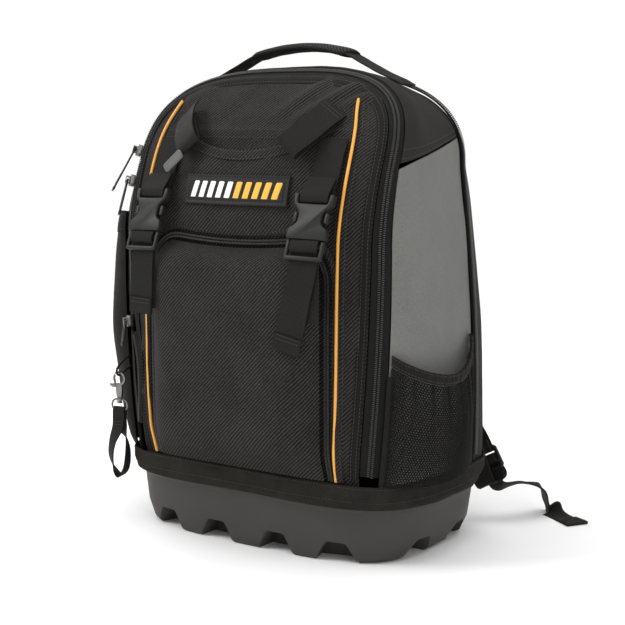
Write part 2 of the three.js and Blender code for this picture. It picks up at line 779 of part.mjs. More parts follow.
// How far the slip pocket's face stands off the front panel: nothing under the straps, most at its mouth.
function slipLift(x, z) {
  const bell = Math.max(0, 1 - Math.pow(x / 80, 2));
  const rise = clamp((z - pocketTop) / (mouthHeight - pocketTop), 0, 1);
  return cloth + gap * 2 + slipDepth * Math.pow(bell, 1.2) * Math.pow(rise, 0.7);
}

function makeSlipPocket() {
  const foot = pocketTop + zipWidth + 2;
  const grid = gridOf(12, 4, (u, k) => {
    const across = 2 * u - 1;
    const x = across * slipHalfWidth;
    const sagging = Math.max(0, 1 - Math.pow(x / mouthHalfWidth, 2));
    const z = lerp(foot, mouthHeight - mouthSag * sagging, k);
    return frontPoint(x, z, slipLift(x, z));
  });
  add("slip_pocket", sheet(grid, cloth), materials.cordura);
}

// Side pockets

function makeMeshPocket() {
  const from = 0.55;
  const to = REAR_SEAM - 0.25;
  const foot = baseHeight - 7 + bindingHeight + 1;
  const topAt = (k) => meshTop - meshSag * Math.sin(Math.PI * Math.min(1, k * 1.02)) + 6 * k;
  const stand = (k, rise) => {
    const belly = Math.sin(Math.PI * clamp(k, 0, 1));
    return cloth * 0 + gap + meshThick + meshDepth * belly * (0.55 + 0.45 * Math.sin(Math.PI * (0.15 + 0.7 * rise)));
  };
  const place = (k, rise, extra = 0) => {
    const v = lerp(from, to, k);
    const z = lerp(foot, topAt(k) - elasticHeight, rise);
    return bodyPoint(climbTo(z, v), v, stand(k, rise) + extra);
  };
  const net = gridOf(5, 10, (u, k) => place(k, 1 - u));
  add("mesh_pocket", sheet(net, meshThick), materials.mesh);
  const band = gridOf(1, 10, (u, k) => {
    const v = lerp(from, to, k);
    const z = topAt(k) - elasticHeight + gap + (1 - u) * elasticHeight;
    return bodyPoint(climbTo(z, v), v, stand(k, 1) + 0.6);
  });
  add("mesh_pocket_elastic", sheet(band, meshThick * 1.6), materials.webbing);
}

function makeSleevePocket() {
  const from = 0.62;
  const to = REAR_SEAM - 0.3;
  const foot = baseHeight - 7 + bindingHeight + 1;
  const grid = gridOf(8, 8, (u, k) => {
    const v = lerp(from, to, k);
    const z = lerp(foot, sleeveTop - 12 * k, u);
    const belly = Math.sqrt(Math.sin(Math.PI * clamp(k, 0.0004, 0.9996)));
    const lift = gap + cloth + sleeveDepth * belly * Math.pow(Math.sin(Math.PI * (0.01 + 0.9 * u)), 0.5);
    return bodyPoint(climbTo(z, v, -1), v, lift);
  });
  add("side_sleeve_left", sheet(grid, cloth), materials.smooth);
}

// Webbing, buckles and the patch

// A basis to place hardware: x across, y up along it, z out of the cloth.
function frameAt(origin, up, across) {
  const y = up.clone().normalize();
  const x = across.clone().addScaledVector(y, -across.dot(y)).normalize();
  return new THREE.Matrix4().makeBasis(x, y, x.clone().cross(y)).setPosition(origin);
}

// A flat plate from corners in its own plane, with holes.
function plate(corners, thickness, holes = []) {
  const shape = new THREE.Shape(corners.map(([x, y]) => new THREE.Vector2(x, y)));
  for (const hole of holes) shape.holes.push(new THREE.Path(hole.map(([x, y]) => new THREE.Vector2(x, y))));
  const made = new THREE.ExtrudeGeometry(shape, { depth: thickness, bevelEnabled: false });
  return made.translate(0, 0, -thickness / 2);
}

const rectangle = (x0, x1, y0, y1) => [[x0, y0], [x1, y0], [x1, y1], [x0, y1]];

function chamfered(x0, x1, y0, y1, cut) {
  return [
    [x0 + cut, y0], [x1 - cut, y0], [x1, y0 + cut], [x1, y1 - cut],
    [x1 - cut, y1], [x0 + cut, y1], [x0, y1 - cut], [x0, y0 + cut],
  ];
}

const buckleHalf = buckleWidth / 2;
const barHalf = 1.8;
const prongThick = 4;

// The socket half, its bar for webbing at the top and its mouth at the bottom, with a window each side.
function socketHalf() {
  const shell = plate(chamfered(-buckleHalf, buckleHalf, -4, 20, 4), buckleThick);
  const bar = plate(chamfered(-buckleHalf + 2, buckleHalf - 2, 17, 31, 3), barHalf * 2, [rectangle(-16, 16, 20.6, 27.2)]);
  const room = new THREE.BoxGeometry(36, 22, prongThick + 1.2).translate(0, 5.5, 0);
  const window_ = new THREE.BoxGeometry(14, 11, prongThick + 1.2);
  return minus(
    plus(shell, bar),
    room,
    window_.clone().translate(-buckleHalf, 8.5, 0),
    window_.clone().translate(buckleHalf, 8.5, 0),
  );
}

// The prong half: a ladder for webbing below, two sprung prongs and a guide above.
function prongHalf() {
  const slots = [rectangle(-15.5, 15.5, -27.6, -20.6), rectangle(-15.5, 15.5, -17.4, -10.6)];
  const ladder = plate(chamfered(-20, 20, -31, -6, 3), barHalf * 2, slots);
  const root = new THREE.BoxGeometry(39, 4.4, 7).translate(0, -6.9, 0);
  const prong = plate([[9, -6], [13, -6], [14.5, 2], [19, 5], [18, 11], [13, 13.5], [10.5, 10]], prongThick);
  const other = prong.clone().applyMatrix4(new THREE.Matrix4().makeRotationY(Math.PI));
  const guide = plate(rectangle(-2.5, 2.5, -6, 12), prongThick);
  return plus(ladder, root, prong, other, guide);
}

// The webbing's middle line through each half, in the buckle's own frame.
const SOCKET_THREAD = [[36, -4.3], [30, -3.6], [26.2, -3.3], [23.6, -2.2], [22.9, 0], [23.6, 2.2], [26.2, 3.3], [30, 3.6]];
const PRONG_THREAD = [
  [-32, -5.6], [-18, -5.2], [-14.2, -3.4], [-13.2, 0], [-14.2, 2.6], [-16.8, 3.4], [-21, 3.4],
  [-23.4, 2], [-24.2, 0], [-25.2, -2], [-28, -3.1], [-32, -3.4],
];

// One strap down the front. endZ and endX are where its tail ends, footZ where it is sewn to the pocket.
function makeFrontStrap(side, name, tail) {
  const top = frontPoint(side * strapX, 351, 13.5);
  const foot = frontPoint(side * strapX, 287, 30.5);
  const middle = top.clone().lerp(foot, 0.5);
  const across = frontPoint(side * strapX + 8, 300).sub(frontPoint(side * strapX - 8, 300));
  const frame = frameAt(middle, top.clone().sub(foot), across);
  const thread = ([y, z]) => V(0, y, z).applyMatrix4(frame);
  const acrossNow = across.normalize().toArray();
  const stop = (point) => ({ at: point.toArray(), across: acrossNow });
  const onPanel = (z, out) => frontPoint(side * strapX, z, out);

  const upper = [onPanel(399, 5), onPanel(385, 5), onPanel(366, 5.4), ...SOCKET_THREAD.map(thread)];
  const fold = onPanel(363, 9.6);
  upper.push(fold.clone().lerp(thread([30, 3.6]), 0.45), fold);
  add("strap_upper_" + name, ribbon(upper.map(stop), webbing, webThick, 26), materials.webbing);

  const x = side * strapX;
  const down = pocketPoint(0.86 * side, tail.footZ, 0);
  const anchor = V(x, down.y - 6.4, tail.footZ);
  const lower = [anchor, anchor.clone().lerp(thread([-32, -5.6]), 0.5), ...PRONG_THREAD.map(thread)];
  const last = thread([-32, -3.4]);
  const slack = (share) => V(lerp(x, side * tail.endX, share), last.y - 0.6 - tail.sway * share, lerp(last.z, tail.endZ, share));
  lower.push(slack(0.3), slack(0.65), slack(1));
  add("strap_lower_" + name, ribbon(lower.map(stop), webbing, webThick, 28), materials.webbing);

  add("buckle_socket_" + name, socketHalf().applyMatrix4(frame), materials.plastic);
  add("buckle_prongs_" + name, prongHalf().applyMatrix4(frame), materials.plastic);
}

// A folded loop of webbing that stands off the upper panel: from its sewn end out, down and back up.
const LOOP_LINE = [
  { x: 88, z: 427, out: 6 },
  { x: 83, z: 419, out: 13 },
  { x: 73, z: 405, out: 20 },
  { x: 61, z: 393, out: 24 },
  { x: 58, z: 389, out: 21 },
  { x: 61, z: 392, out: 18.5 },
  { x: 73, z: 404, out: 15 },
  { x: 84, z: 415, out: 6.5 },
];

function makeWebbingLoop(side, name) {
  const line = LOOP_LINE.map((row) => ({
    at: frontPoint(side * row.x, row.z, row.out).toArray(),
    across: [0.74 * side, -0.08, -0.66],
  }));
  add("webbing_loop_" + name, ribbon(line, webbing - 2, webThick, 16), materials.webbing);
}

function makePatch() {
  const halfLength = 62;
  const [low, high] = [335, 364];
  const grid = gridOf(8, 2, (u, k) => {
    const x = (2 * u - 1) * halfLength;
    const z = lerp(low, high, k);
    return frontPoint(x, z, slipLift(x, z) + 2.6);
  });
  add("rubber_patch", sheet(grid, 1.8), materials.rubber);
}

// Carrying handle

// Half of the handle's line, its heights counted from bagHeight.
const HANDLE_LINE = [
  { x: 125, rise: -16.6 },
  { x: 116, rise: -12 },
  { x: 107, rise: -8.2 },
  { x: 97, rise: -4 },
  { x: 78, rise: 3.5 },
  { x: 51, rise: 15 },
  { x: 0, rise: 21.5 },
];

function makeHandle() {
  const rows = [...HANDLE_LINE.map((row) => ({ ...row, x: -row.x })), ...HANDLE_LINE.slice(0, -1).reverse()];
  const line = rows.map(({ x, rise }) => {
    return { at: [x, 4 - Math.abs(x) * 0.08, bagHeight + rise], across: [0, 1, 0] };
  });
  const path = new THREE.CatmullRomCurve3(line.map((p) => V(...p.at)), false, "centripetal");
  const points = [];
  const half = gripHalfLength / path.getLength();
  for (let i = 0; i <= 8; i++) points.push(path.getPointAt(lerp(0.5 - half, 0.5 + half, i / 8)));
  const grip = rod(points, gripWidth / 2, gripThick / 2, 10, () => V(0, 0, 1));
  add("handle_webbing", ribbon(line, webbing - 5, webThick, 20), materials.webbing);
  add("handle_grip", minus(grip, ribbon(line, webbing - 5 + 1.2, webThick + 1, 20)), materials.cordura);
}

// Shoulder straps on the back, with their lower webbing and adjusters

// Out is how far each point stands behind the back seam, down is from bagHeight.
const backY = frontZipY + bagDepth;
const PAD_LINE = [
  { x: 46, out: 9.6, down: 32 },
  { x: 46.5, out: 11.3, down: 46 },
  { x: 50, out: 16, down: 66 },
  { x: 56, out: 29, down: 100 },
  { x: 62, out: 38, down: 150 },
  { x: 68, out: 35, down: 220 },
  { x: 82, out: 27, down: 280 },
  { x: 98, out: 21, down: 320 },
];
const adjusterAt = { x: 149, out: 24, z: 58 };
const adjusterUp = V(-0.47, -0.04, 0.88);
const adjusterBar = 1.6;

// The webbing's middle lines in the adjuster's own frame: sewn round its upper bar, and laced through it.
const UPPER_THREAD = [[24, -3], [14, -3], [9.6, -2.9], [7.6, -1.8], [7, 0], [7.6, 1.8], [9.6, 2.9], [14, 3], [20, 2.4]];
const LACED_THREAD = [
  [-20, -5.8], [-8, -5.2], [0.5, -4.6], [3.4, -2.6], [4, 0], [3.2, 2.4], [0, 3.2], [-3.2, 2.4],
  [-4.2, 0], [-5.8, -2.2], [-9.5, -2.9], [-14, -2.9],
];

function makeShoulderStrap(side, name, tail) {
  const stops = PAD_LINE.map((p) => V(side * p.x, backY + p.out, bagHeight - p.down));
  const pad = new THREE.CatmullRomCurve3(stops, false, "centripetal");
  const points = [];
  for (let i = 0; i <= 11; i++) points.push(pad.getPoint(i / 11));
  add("shoulder_pad_" + name, rod(points, padWidth / 2, padThick / 2, 8, () => V(0, 1, 0.25)), materials.cordura);
  const up = V(side * adjusterUp.x, adjusterUp.y, adjusterUp.z);
  const frame = frameAt(V(side * adjusterAt.x, backY + adjusterAt.out, adjusterAt.z), up, V(0.88, 0, 0.47 * side));
  const acrossNow = V(1, 0, 0).transformDirection(frame).toArray();
  const stop = (p) => ({ at: V(0, p[0], p[1]).applyMatrix4(frame).toArray(), across: acrossNow });
  const end = stops[stops.length - 1];
  const sewn = [[end.x - 3 * side, end.y - 7.8, end.z + 12], [end.x + 4 * side, end.y - 7.5, end.z - 4]];
  const web = sewn.map((at) => ({ at, across: acrossNow }));
  add("strap_web_" + name, ribbon([...web, ...UPPER_THREAD.map(stop)], strapWebbing, webThick, 18), materials.webbing);
  const slots = [rectangle(-13.5, 13.5, 1.6, 9.2), rectangle(-13.5, 13.5, -9.2, -1.6)];
  const lock = plate(chamfered(-17, 17, -adjusterLength / 2, adjusterLength / 2, 3), adjusterBar * 2, slots);
  add("strap_adjuster_" + name, lock.applyMatrix4(frame), materials.plastic);
  const point = (p) => ({
    at: [side * p.x, backY + p.out, p.z],
    across: p.across.map((n, i) => n * (i === 0 ? 1 : side)),
  });
  const line = [...ANCHOR_LINE.map(point), ...LACED_THREAD.map(stop), ...tail.map(point)];
  add("strap_tail_" + name, ribbon(line, strapWebbing, webThick, 32), materials.webbing);
}

// Where the lower webbing leaves the bag and hangs slack before the adjuster.
const ANCHOR_LINE = [
  { x: 132, out: 5.6, z: 108, across: [1, 0, 0] },
  { x: 133, out: 8.4, z: 92, across: [1, 0, 0] },
  { x: 136, out: 12.5, z: 79, across: [1, 0, 0] },
  { x: 143, out: 13, z: 58, across: [0.95, 0, 0.2] },
  { x: 154, out: 16, z: 34, across: [0.9, 0, 0.4] },
];
const RIGHT_TAIL = [
  { x: 163, out: 27, z: 33, across: [0.8, -0.3, 0.5] },
  { x: 181, out: 39, z: 35, across: [0.5, -0.7, 0.3] },
  { x: 195, out: 60, z: 27, across: [0.5, -0.8, 0.1] },
  { x: 196, out: 77, z: 5, across: [0.7, -0.7, 0] },
  { x: 206, out: 74, z: -2.7, across: [0.6, 0.8, 0] },
  { x: 243, out: 50, z: -2.7, across: [0.6, 0.8, 0] },
];
const LEFT_TAIL = [
  { x: 161, out: 31, z: 22, across: [0.85, -0.1, 0.4] },
  { x: 166, out: 44, z: 5, across: [0.9, -0.2, 0.1] },
  { x: 171, out: 60, z: -2.7, across: [0.95, -0.3, 0] },
  { x: 185, out: 94, z: -2.7, across: [0.95, -0.3, 0] },
];

const plainTail = { endZ: 226, footZ: 232, endX: 99, sway: 1 };
const longTail = { endZ: 203, footZ: 232, endX: 78, sway: 2 };

// Zip sliders with their pulls, the grey tab, and the clip on its webbing fob

const sliderTop = 2.5;
const pivotHeight = sliderTop + 2.3;

// A slider's body with the bridge that holds its pull.
function sliderBody(width) {
  const body = plate(chamfered(-width / 2, width / 2, -6, 6, 2), sliderTop * 2);
  const bridge = box(2.2, 8, 5, 0, 0, pivotHeight - 0.3);
  const eye = box(4, 4.6, 3, 0, 0, pivotHeight);
  return minus(plus(body, bridge), eye);
}

// A pull that hangs from its bar, which lies on the hinge's line.
function zipPull(length) {
  const half = pullWidth / 2;
  const outline = chamfered(-half, half, -length, 0.8, 0.7);
  return plate(outline, 1.6, [rectangle(-3.1, 3.1, -7, -0.8)]);
}

// A slider on the front zip's left side. swung is how far its pull stands off the zip, in degrees.
function makeSlider(name, z, length, swung) {
  const t = climbTo(z, 0, -1);
  const [inner, outer] = [panelEdge(t), bodyPoint(t, FRONT_EDGE)];
  const across = inner.clone().sub(outer);
  const up = bodyPoint(t + 0.004, 0.1).sub(bodyPoint(t - 0.004, 0.1));
  const middle = inner.lerp(outer, 0.5);
  const frame = frameAt(middle, up, across);
  const lifted = frame.clone().multiply(new THREE.Matrix4().makeTranslation(0, 0, zipThick / 2 + gap + sliderTop));
  add(name + "_slider", sliderBody(zipWidth - 1).applyMatrix4(lifted), materials.metal);
  const pull = zipPull(length);
  pull.rotateX(THREE.MathUtils.degToRad(-swung)).translate(0, 0, pivotHeight);
  add(name + "_pull", pull.applyMatrix4(lifted), materials.plastic);
  const pivot = V(0, 0, pivotHeight).applyMatrix4(lifted);
  const axis = V(1, 0, 0).transformDirection(lifted);
  pivots.push([name, pivot.toArray(), axis.toArray()]);
}

export const pivots = [];

function makeGreyTab() {
  const outline = chamfered(-4.6, 4.6, -31, 0, 1.6);
  const tab = plate(outline, 2.4);
  const origin = frontPoint(-61, 389, 24);
  const along = frontPoint(-86, 373, 12).sub(origin).negate();
  tab.applyMatrix4(frameAt(origin, along, V(0.5, 0, -0.8)));
  tab.translate(-3.4, -3, -5);
  add("grey_tab", tab, materials.rubber);
}

const clipAt = V(18 - bagHalfWidth, frontZipY - 13.5, 149.5);
const clipOut = V(0.2, -0.98, 0).normalize();
const clipFrame = frameAt(clipAt, V(0, 0, 1), V(0, 0, 1).cross(clipOut));
const jawInner = 5.4;
const jawOuter = 7.7;
const clipThick = 3;

function arc(radius, from, to, steps) {
  const points = [];
  for (let i = 0; i <= steps; i++) {
    const angle = THREE.MathUtils.degToRad(lerp(from, to, i / steps));
    points.push([radius * Math.cos(angle), radius * Math.sin(angle)]);
  }
  return points;
}

function makeClip() {
  const jaw = plate([...arc(jawOuter, -115, 132, 14), ...arc(jawInner, 132, -115, 12)], clipThick);
  const stem = plate([[-3.6, -5.6], [3.6, -5.6], [3.6, -12], [2.6, -20], [-2.6, -20], [-3.6, -12]], clipThick);
  const post = new THREE.CylinderGeometry(1.5, 1.5, 6, 10).translate(0, -22.2, 0);
  const head = new THREE.CylinderGeometry(2.9, 2.9, 1.6, 10).translate(0, -25.4, 0);
  add("clip_body", plus(jaw, stem, post, head).applyMatrix4(clipFrame), materials.metal);
  const lever = plate(
    [
      ...arc(7.3, 147, 222, 6), [-8.8, -6.2], [-11.5, -5.6], [-11.5, -7.4], [-8.6, -9.6], [-4.3, -9.6],
      [-4.3, -6.4], ...arc(5.2, 208, 149, 6),
    ],
    2.2,
  );
  add("clip_lever", lever.applyMatrix4(clipFrame), materials.metal);

  const D_LINE = [[-2.9, -22], [-7, -23], [-9, -27], [-8.6, -31], [-6.5, -32.6], [6.5, -32.6], [8.6, -31], [9, -27], [7, -23], [2.9, -22]];
  const wire = new THREE.CatmullRomCurve3(D_LINE.map(([x, y]) => V(x, y, 0)), false, "centripetal");
  const points = [];
  for (let i = 0; i <= 14; i++) points.push(wire.getPoint(i / 14));
  const ring = rod(points, 1.1, 1.1, 5, () => V(0, 0, 1));
  const collar = new THREE.LatheGeometry(
    [[2, -23.4], [3.6, -23.4], [3.6, -20.7], [2, -20.7], [2, -23.4]].map(([x, y]) => new THREE.Vector2(x, y)),
    12,
  );
  add("clip_swivel_ring", plus(ring, collar).applyMatrix4(clipFrame), materials.metal);

  const FOB_LINE = [
    { at: [0, -30.2, 0], across: [1, 0, 0] },
    { at: [0, -32.4, 2.3], across: [1, 0, 0] },
    { at: [-1, -41, 1.5], across: [1, 0, 0] },
    { at: [-2, -51, 1.5], across: [1, 0, 0.1] },
    { at: [-8, -66, 2], across: [0.85, 0, 0.5] },
    { at: [-10.5, -82, 2], across: [0.75, 0.1, 0.65] },
    { at: [-7, -97, 1], across: [0.5, -0.3, 0.8] },
    { at: [-1, -104, 0], across: [0.2, 0, 1] },
    { at: [5, -97, -1], across: [0.1, 0.2, 1] },
    { at: [7.5, -80, -2], across: [0.15, 0, 1] },
    { at: [6, -64, -2], across: [0.5, 0, 0.85] },
    { at: [1, -51, -1.5], across: [1, 0, 0.1] },
    { at: [0, -41, -1.5], across: [1, 0, 0] },
    { at: [0, -32.4, -2.3], across: [1, 0, 0] },
  ];
  add("fob_webbing", ribbon(FOB_LINE, 14, 1.4, 26, true).applyMatrix4(clipFrame), materials.webbing);

  const sewnAt = (z) => bodyPoint(climbTo(z, 0.6, -1), 0.6, 1.5).toArray();
  const from = ([x, y, z]) => clipAt.clone().add(V(x, y, z)).toArray();
  const CORD_LINE = [
    sewnAt(171), ...[[-1.6, 8.5, 17.5], [0.8, -4.5, 9.5], [0.4, -2.5, 4.1], [-0.2, 2, 3.4], [-2, 10.5, 6]].map(from),
    sewnAt(160),
  ];
  const cord = new THREE.CatmullRomCurve3(CORD_LINE.map((p) => V(...p)), false, "centripetal");
  const cordPoints = [];
  for (let i = 0; i <= 13; i++) cordPoints.push(cord.getPoint(i / 13));
  add("clip_cord", rod(cordPoints, 1.1, 1.1, 5, () => V(1, 0, 0)), materials.webbing);
}

makeBase();
makeBinding();
makeFrontPanel();
makeSides();
makeRear();
makeBodyZips();
add("piping_left", makePiping(-1), materials.piping);
add("piping_right", makePiping(1), materials.piping);
makeFrontPocket();
makePocketZip();
makeSlipPocket();
makeMeshPocket();
makeSleevePocket();
makeFrontStrap(-1, "left", plainTail);
makeFrontStrap(1, "right", longTail);
makeWebbingLoop(-1, "left");
makeWebbingLoop(1, "right");
makePatch();
makeHandle();
makeShoulderStrap(-1, "left", LEFT_TAIL);
makeShoulderStrap(1, "right", RIGHT_TAIL);
makeOpenZip();
makeSlider("upper_zip", 384, 50, 12);
makeSlider("lower_zip", 353, 38, 3);
makeSlider("open_zip", gapeTop + 1, 26, 10);
makeGreyTab();
makeClip();

export default bag;
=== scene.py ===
"""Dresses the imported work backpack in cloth, webbing, zips, net, moulded plastic and metal.

Lengths in the tables are millimetres, and heights in them count from body_lift above the floor.
"""

import json
import math

import bmesh
import bpy
import numpy as np
from mathutils import Matrix, Vector


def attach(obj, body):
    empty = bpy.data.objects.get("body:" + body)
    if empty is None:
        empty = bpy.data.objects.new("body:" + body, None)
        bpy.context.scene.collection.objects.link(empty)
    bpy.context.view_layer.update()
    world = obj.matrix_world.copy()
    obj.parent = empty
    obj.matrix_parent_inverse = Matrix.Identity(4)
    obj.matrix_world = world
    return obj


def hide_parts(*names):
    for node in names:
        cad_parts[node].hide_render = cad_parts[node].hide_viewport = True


bl_info = {
    "name": "Work backpack dresser",
    "version": (1, 0, 0),
    "blender": (4, 5, 0),
    "location": "3D View > Sidebar > Backpack",
    "description": "Makes the cloth, webbing, zips, net and hardware of a work backpack round its solids",
    "category": "Object",
}

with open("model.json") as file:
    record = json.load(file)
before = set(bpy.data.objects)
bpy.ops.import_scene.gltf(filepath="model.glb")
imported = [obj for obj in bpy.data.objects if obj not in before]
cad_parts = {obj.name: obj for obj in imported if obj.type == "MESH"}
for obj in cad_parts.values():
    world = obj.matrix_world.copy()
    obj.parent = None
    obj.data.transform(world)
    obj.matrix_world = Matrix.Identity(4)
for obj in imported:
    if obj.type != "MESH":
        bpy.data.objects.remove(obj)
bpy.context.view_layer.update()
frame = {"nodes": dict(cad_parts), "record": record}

MM = 0.001
BODY_OF = {
    node: body
    for body, nodes in frame["record"]["behaviour"]["bodies"].items()
    for node in nodes
}


# Sizes and colours that a user would change


def length(name, about, millimetres):
    """A length property whose default is given in millimetres."""
    return bpy.props.FloatProperty(
        name=name, description=about, default=millimetres * MM, min=0.0, unit="LENGTH"
    )


def colour(name, about, value):
    """A colour property in linear light."""
    return bpy.props.FloatVectorProperty(
        name=name, description=about, default=value, size=3, subtype="COLOR", min=0.0, max=1.0
    )


class BackpackSizes(bpy.types.PropertyGroup):
    """Sizes of the cloth, sewing and zips."""

    cordura_yarn: length("Cordura yarn", "Width of one yarn of the coarse front cloth", 1.0)
    smooth_yarn: length("Smooth yarn", "Width of one yarn of the smooth side cloth", 0.6)
    grey_yarn: length("Grey yarn", "Width of one yarn of the grey side cloth", 0.62)
    webbing_rib: length("Webbing rib", "Distance between the ribs of the webbing", 1.15)
    stitch_pitch: length("Stitch pitch", "Distance from one stitch to the next", 3.4)
    stitch_length: length("Stitch length", "Length of one stitch", 2.5)
    thread_width: length("Thread width", "Thickness of the sewing thread", 0.62)
    main_tooth: length("Main coil pitch", "Distance between coils of the front and rear zips", 2.05)
    pocket_tooth: length("Pocket coil pitch", "Distance between coils of the pocket zip", 1.7)
    net_cell: length("Net cell", "Distance between holes of the side net", 3.5)
    net_strand: length("Net strand", "Width of the net between two holes", 1.3)
    stitch_seed: bpy.props.IntProperty(
        name="Seed", description="Seed of the small unevenness of stitches", default=7, min=0
    )


class BackpackColours(bpy.types.PropertyGroup):
    """Colours of the cloth, plastic and metal."""

    cordura: colour("Cordura", "Coarse front cloth", (0.0165, 0.0152, 0.0142))
    smooth: colour("Smooth cloth", "Side, top and back cloth", (0.0175, 0.0163, 0.0153))
    grey: colour("Grey cloth", "Right side panel and lining", (0.195, 0.196, 0.186))
    webbing: colour("Webbing", "Straps and loops", (0.0085, 0.008, 0.0076))
    binding: colour("Binding", "Tape over the base's rim", (0.017, 0.015, 0.013))
    piping: colour("Piping", "Corded piping on the front", (0.9, 0.42, 0.07))
    base: colour("Base", "Moulded base", (0.04, 0.036, 0.033))
    plastic: colour("Buckles", "Buckles and adjusters", (0.0075, 0.007, 0.0066))
    rubber: colour("Rubber", "Patch and pulls", (0.009, 0.0086, 0.0082))
    tab: colour("Tab", "Small tab on the left loop", (0.12, 0.12, 0.117))
    metal: colour("Metal", "Sliders and clip", (0.2, 0.195, 0.19))
    light_bar: colour("Light bars", "Left bars of the patch", (0.82, 0.82, 0.8))
    warm_bar: colour("Warm bars", "Right bars of the patch", (0.86, 0.43, 0.045))


# The bag's shape, from the same tables as the solids


bag_half_width = 176.0
bag_depth = 198.0
bag_height = 467.0
front_zip_y = -98.0
shoulder_height = 370.0
cloth = 2.4
front_crown = 17.0
gap = 0.4
body_lift = 4.0
base_height = 60.0
base_depth = 212.0
notch_foot = 42.0
notch_reach = 26.0
notch_pitch = 73.5
binding_height = 23.0
zip_width = 10.0
pocket_top = 300.0
pocket_half_width = 100.0
pocket_corner = 34.0
pocket_depth = 24.0
mouth_height = 397.0
mouth_half_width = 60.0
mouth_sag = 10.0
slip_depth = 13.0
slip_half_width = 108.0
mesh_depth = 22.0
mesh_top = 201.0
mesh_sag = 24.0
mesh_thick = 1.4
elastic_height = 10.0
panel_gape = 10.0
panel_pull = 17.0
gape_bottom = 96.0
gape_top = 208.0
sleeve_top = 322.0
sleeve_depth = 25.0
webbing_width = 30.0
web_thick = 1.7
strap_x = 97.0
strap_webbing = 25.0
foot_height = base_height + 2
back_y = front_zip_y + bag_depth
pocket_foot = base_height - 7 + binding_height + 2

# Seam lines over the bag from front to back: shares of the depth, half width and height.
SEAM_COLUMNS = ("depth", "foot", "waist", "shoulder", "crown", "lean")
SEAM_LINES = np.array(
    [
        (0.0, 0.775, 0.845, 0.865, 1.0, 0.34),
        (0.1, 0.905, 0.97, 0.93, 1.003, 0.31),
        (0.3, 0.965, 1.015, 0.93, 1.003, 0.2),
        (0.52, 0.985, 1.0, 0.905, 0.994, 0.09),
        (0.72, 0.98, 0.97, 0.88, 0.982, 0.02),
        (0.88, 0.95, 0.93, 0.815, 0.966, 0.0),
        (1.0, 0.86, 0.835, 0.715, 0.946, -0.01),
    ]
)
last_seam = len(SEAM_LINES) - 1
front_edge = 0.5
rear_seam = 4.0
side_share = 0.6
lean_start = 300.0
outline_power = 3.6


def lerp(a, b, share):
    return a + (b - a) * share


def ease(share):
    """A smooth step from 0 to 1."""
    k = np.clip(share, 0.0, 1.0)
    return k * k * (3 - 2 * k)


def unit(vectors):
    """Vectors of length one."""
    return vectors / np.maximum(np.linalg.norm(vectors, axis=-1, keepdims=True), 1e-9)


def seam_at(v):
    """A seam line's values between the rows of the table."""
    v = np.asarray(v, float)
    i = np.clip(np.floor(v).astype(int), 0, last_seam - 1)
    s = (v - i)[..., None]
    a, b = SEAM_LINES[np.clip(i - 1, 0, last_seam)], SEAM_LINES[i]
    c, d = SEAM_LINES[i + 1], SEAM_LINES[np.clip(i + 2, 0, last_seam)]
    made = b + 0.5 * s * (c - a + s * (2 * a - 5 * b + 4 * c - d + s * (3 * (b - c) + d - a)))
    return dict(zip(SEAM_COLUMNS, np.moveaxis(made, -1, 0)))


def lean_at(z):
    return np.clip((z - lean_start) / (bag_height - lean_start), 0.0, 1.1) ** 1.7


def body_point(t, v, lift=0.0):
    """The side and top cloth: t goes from the left foot over the top to the right foot, v to the back."""
    t, v, lift = np.broadcast_arrays(np.asarray(t, float), np.asarray(v, float), np.asarray(lift, float))
    seam = seam_at(v)
    climb = 1 - np.abs(2 * t - 1)
    shoulder = seam["shoulder"] * bag_half_width
    k = np.clip(climb / side_share, 0, 1)
    foot, waist = seam["foot"] * bag_half_width, seam["waist"] * bag_half_width
    side_x = foot * (1 - k) * (1 - 2 * k) + waist * 4 * k * (1 - k) + shoulder * k * (2 * k - 1)
    angle = np.clip((climb - side_share) / (1 - side_share), 0, 1) * (math.pi / 2)
    over = climb > side_share
    power = 0.66 + 0.16 * np.minimum(v / 2, 1)
    x = np.where(over, shoulder * np.maximum(np.cos(angle), 0) ** power, side_x)
    arch_z = lerp(shoulder_height, seam["crown"] * bag_height, np.sin(angle) ** power)
    z = np.where(over, arch_z, lerp(foot_height, shoulder_height, k))
    y = front_zip_y + bag_depth * (seam["depth"] + seam["lean"] * lean_at(z))
    point = np.stack([np.where(t < 0.5, -x, x), y, z], axis=-1)
    if np.any(lift):
        point = point + body_normal(t, v) * lift[..., None]
    return point


def body_normal(t, v):
    e, f = 0.004, 0.04
    around = body_point(np.minimum(t + e, 1), v) - body_point(np.maximum(t - e, 0), v)
    back = body_point(t, np.minimum(v + f, last_seam)) - body_point(t, np.maximum(v - f, 0))
    return unit(np.cross(around, back))


def climb_to(z, v, side=1):
    """Where a seam line reaches a height on one side."""
    z, v = np.broadcast_arrays(np.asarray(z, float), np.asarray(v, float))
    low, high = np.zeros(z.shape), np.full(z.shape, 0.5)
    for _ in range(24):
        middle = (low + high) / 2
        below = body_point(middle, v)[..., 2] < z
        low, high = np.where(below, middle, low), np.where(below, high, middle)
    return low if side < 0 else 1 - low


HEIGHT_TABLE = np.linspace(foot_height, bag_height - 0.05, 900)
WIDTH_TABLE = np.abs(body_point(climb_to(HEIGHT_TABLE, 0.0), 0.0)[..., 0])


def front_half_width(z):
    return np.interp(z, HEIGHT_TABLE, WIDTH_TABLE)


def gape_at(z):
    """How far open the unzipped lower left is at a height."""
    return np.sin(math.pi * np.clip((z - gape_bottom) / (gape_top - gape_bottom), 0, 1))


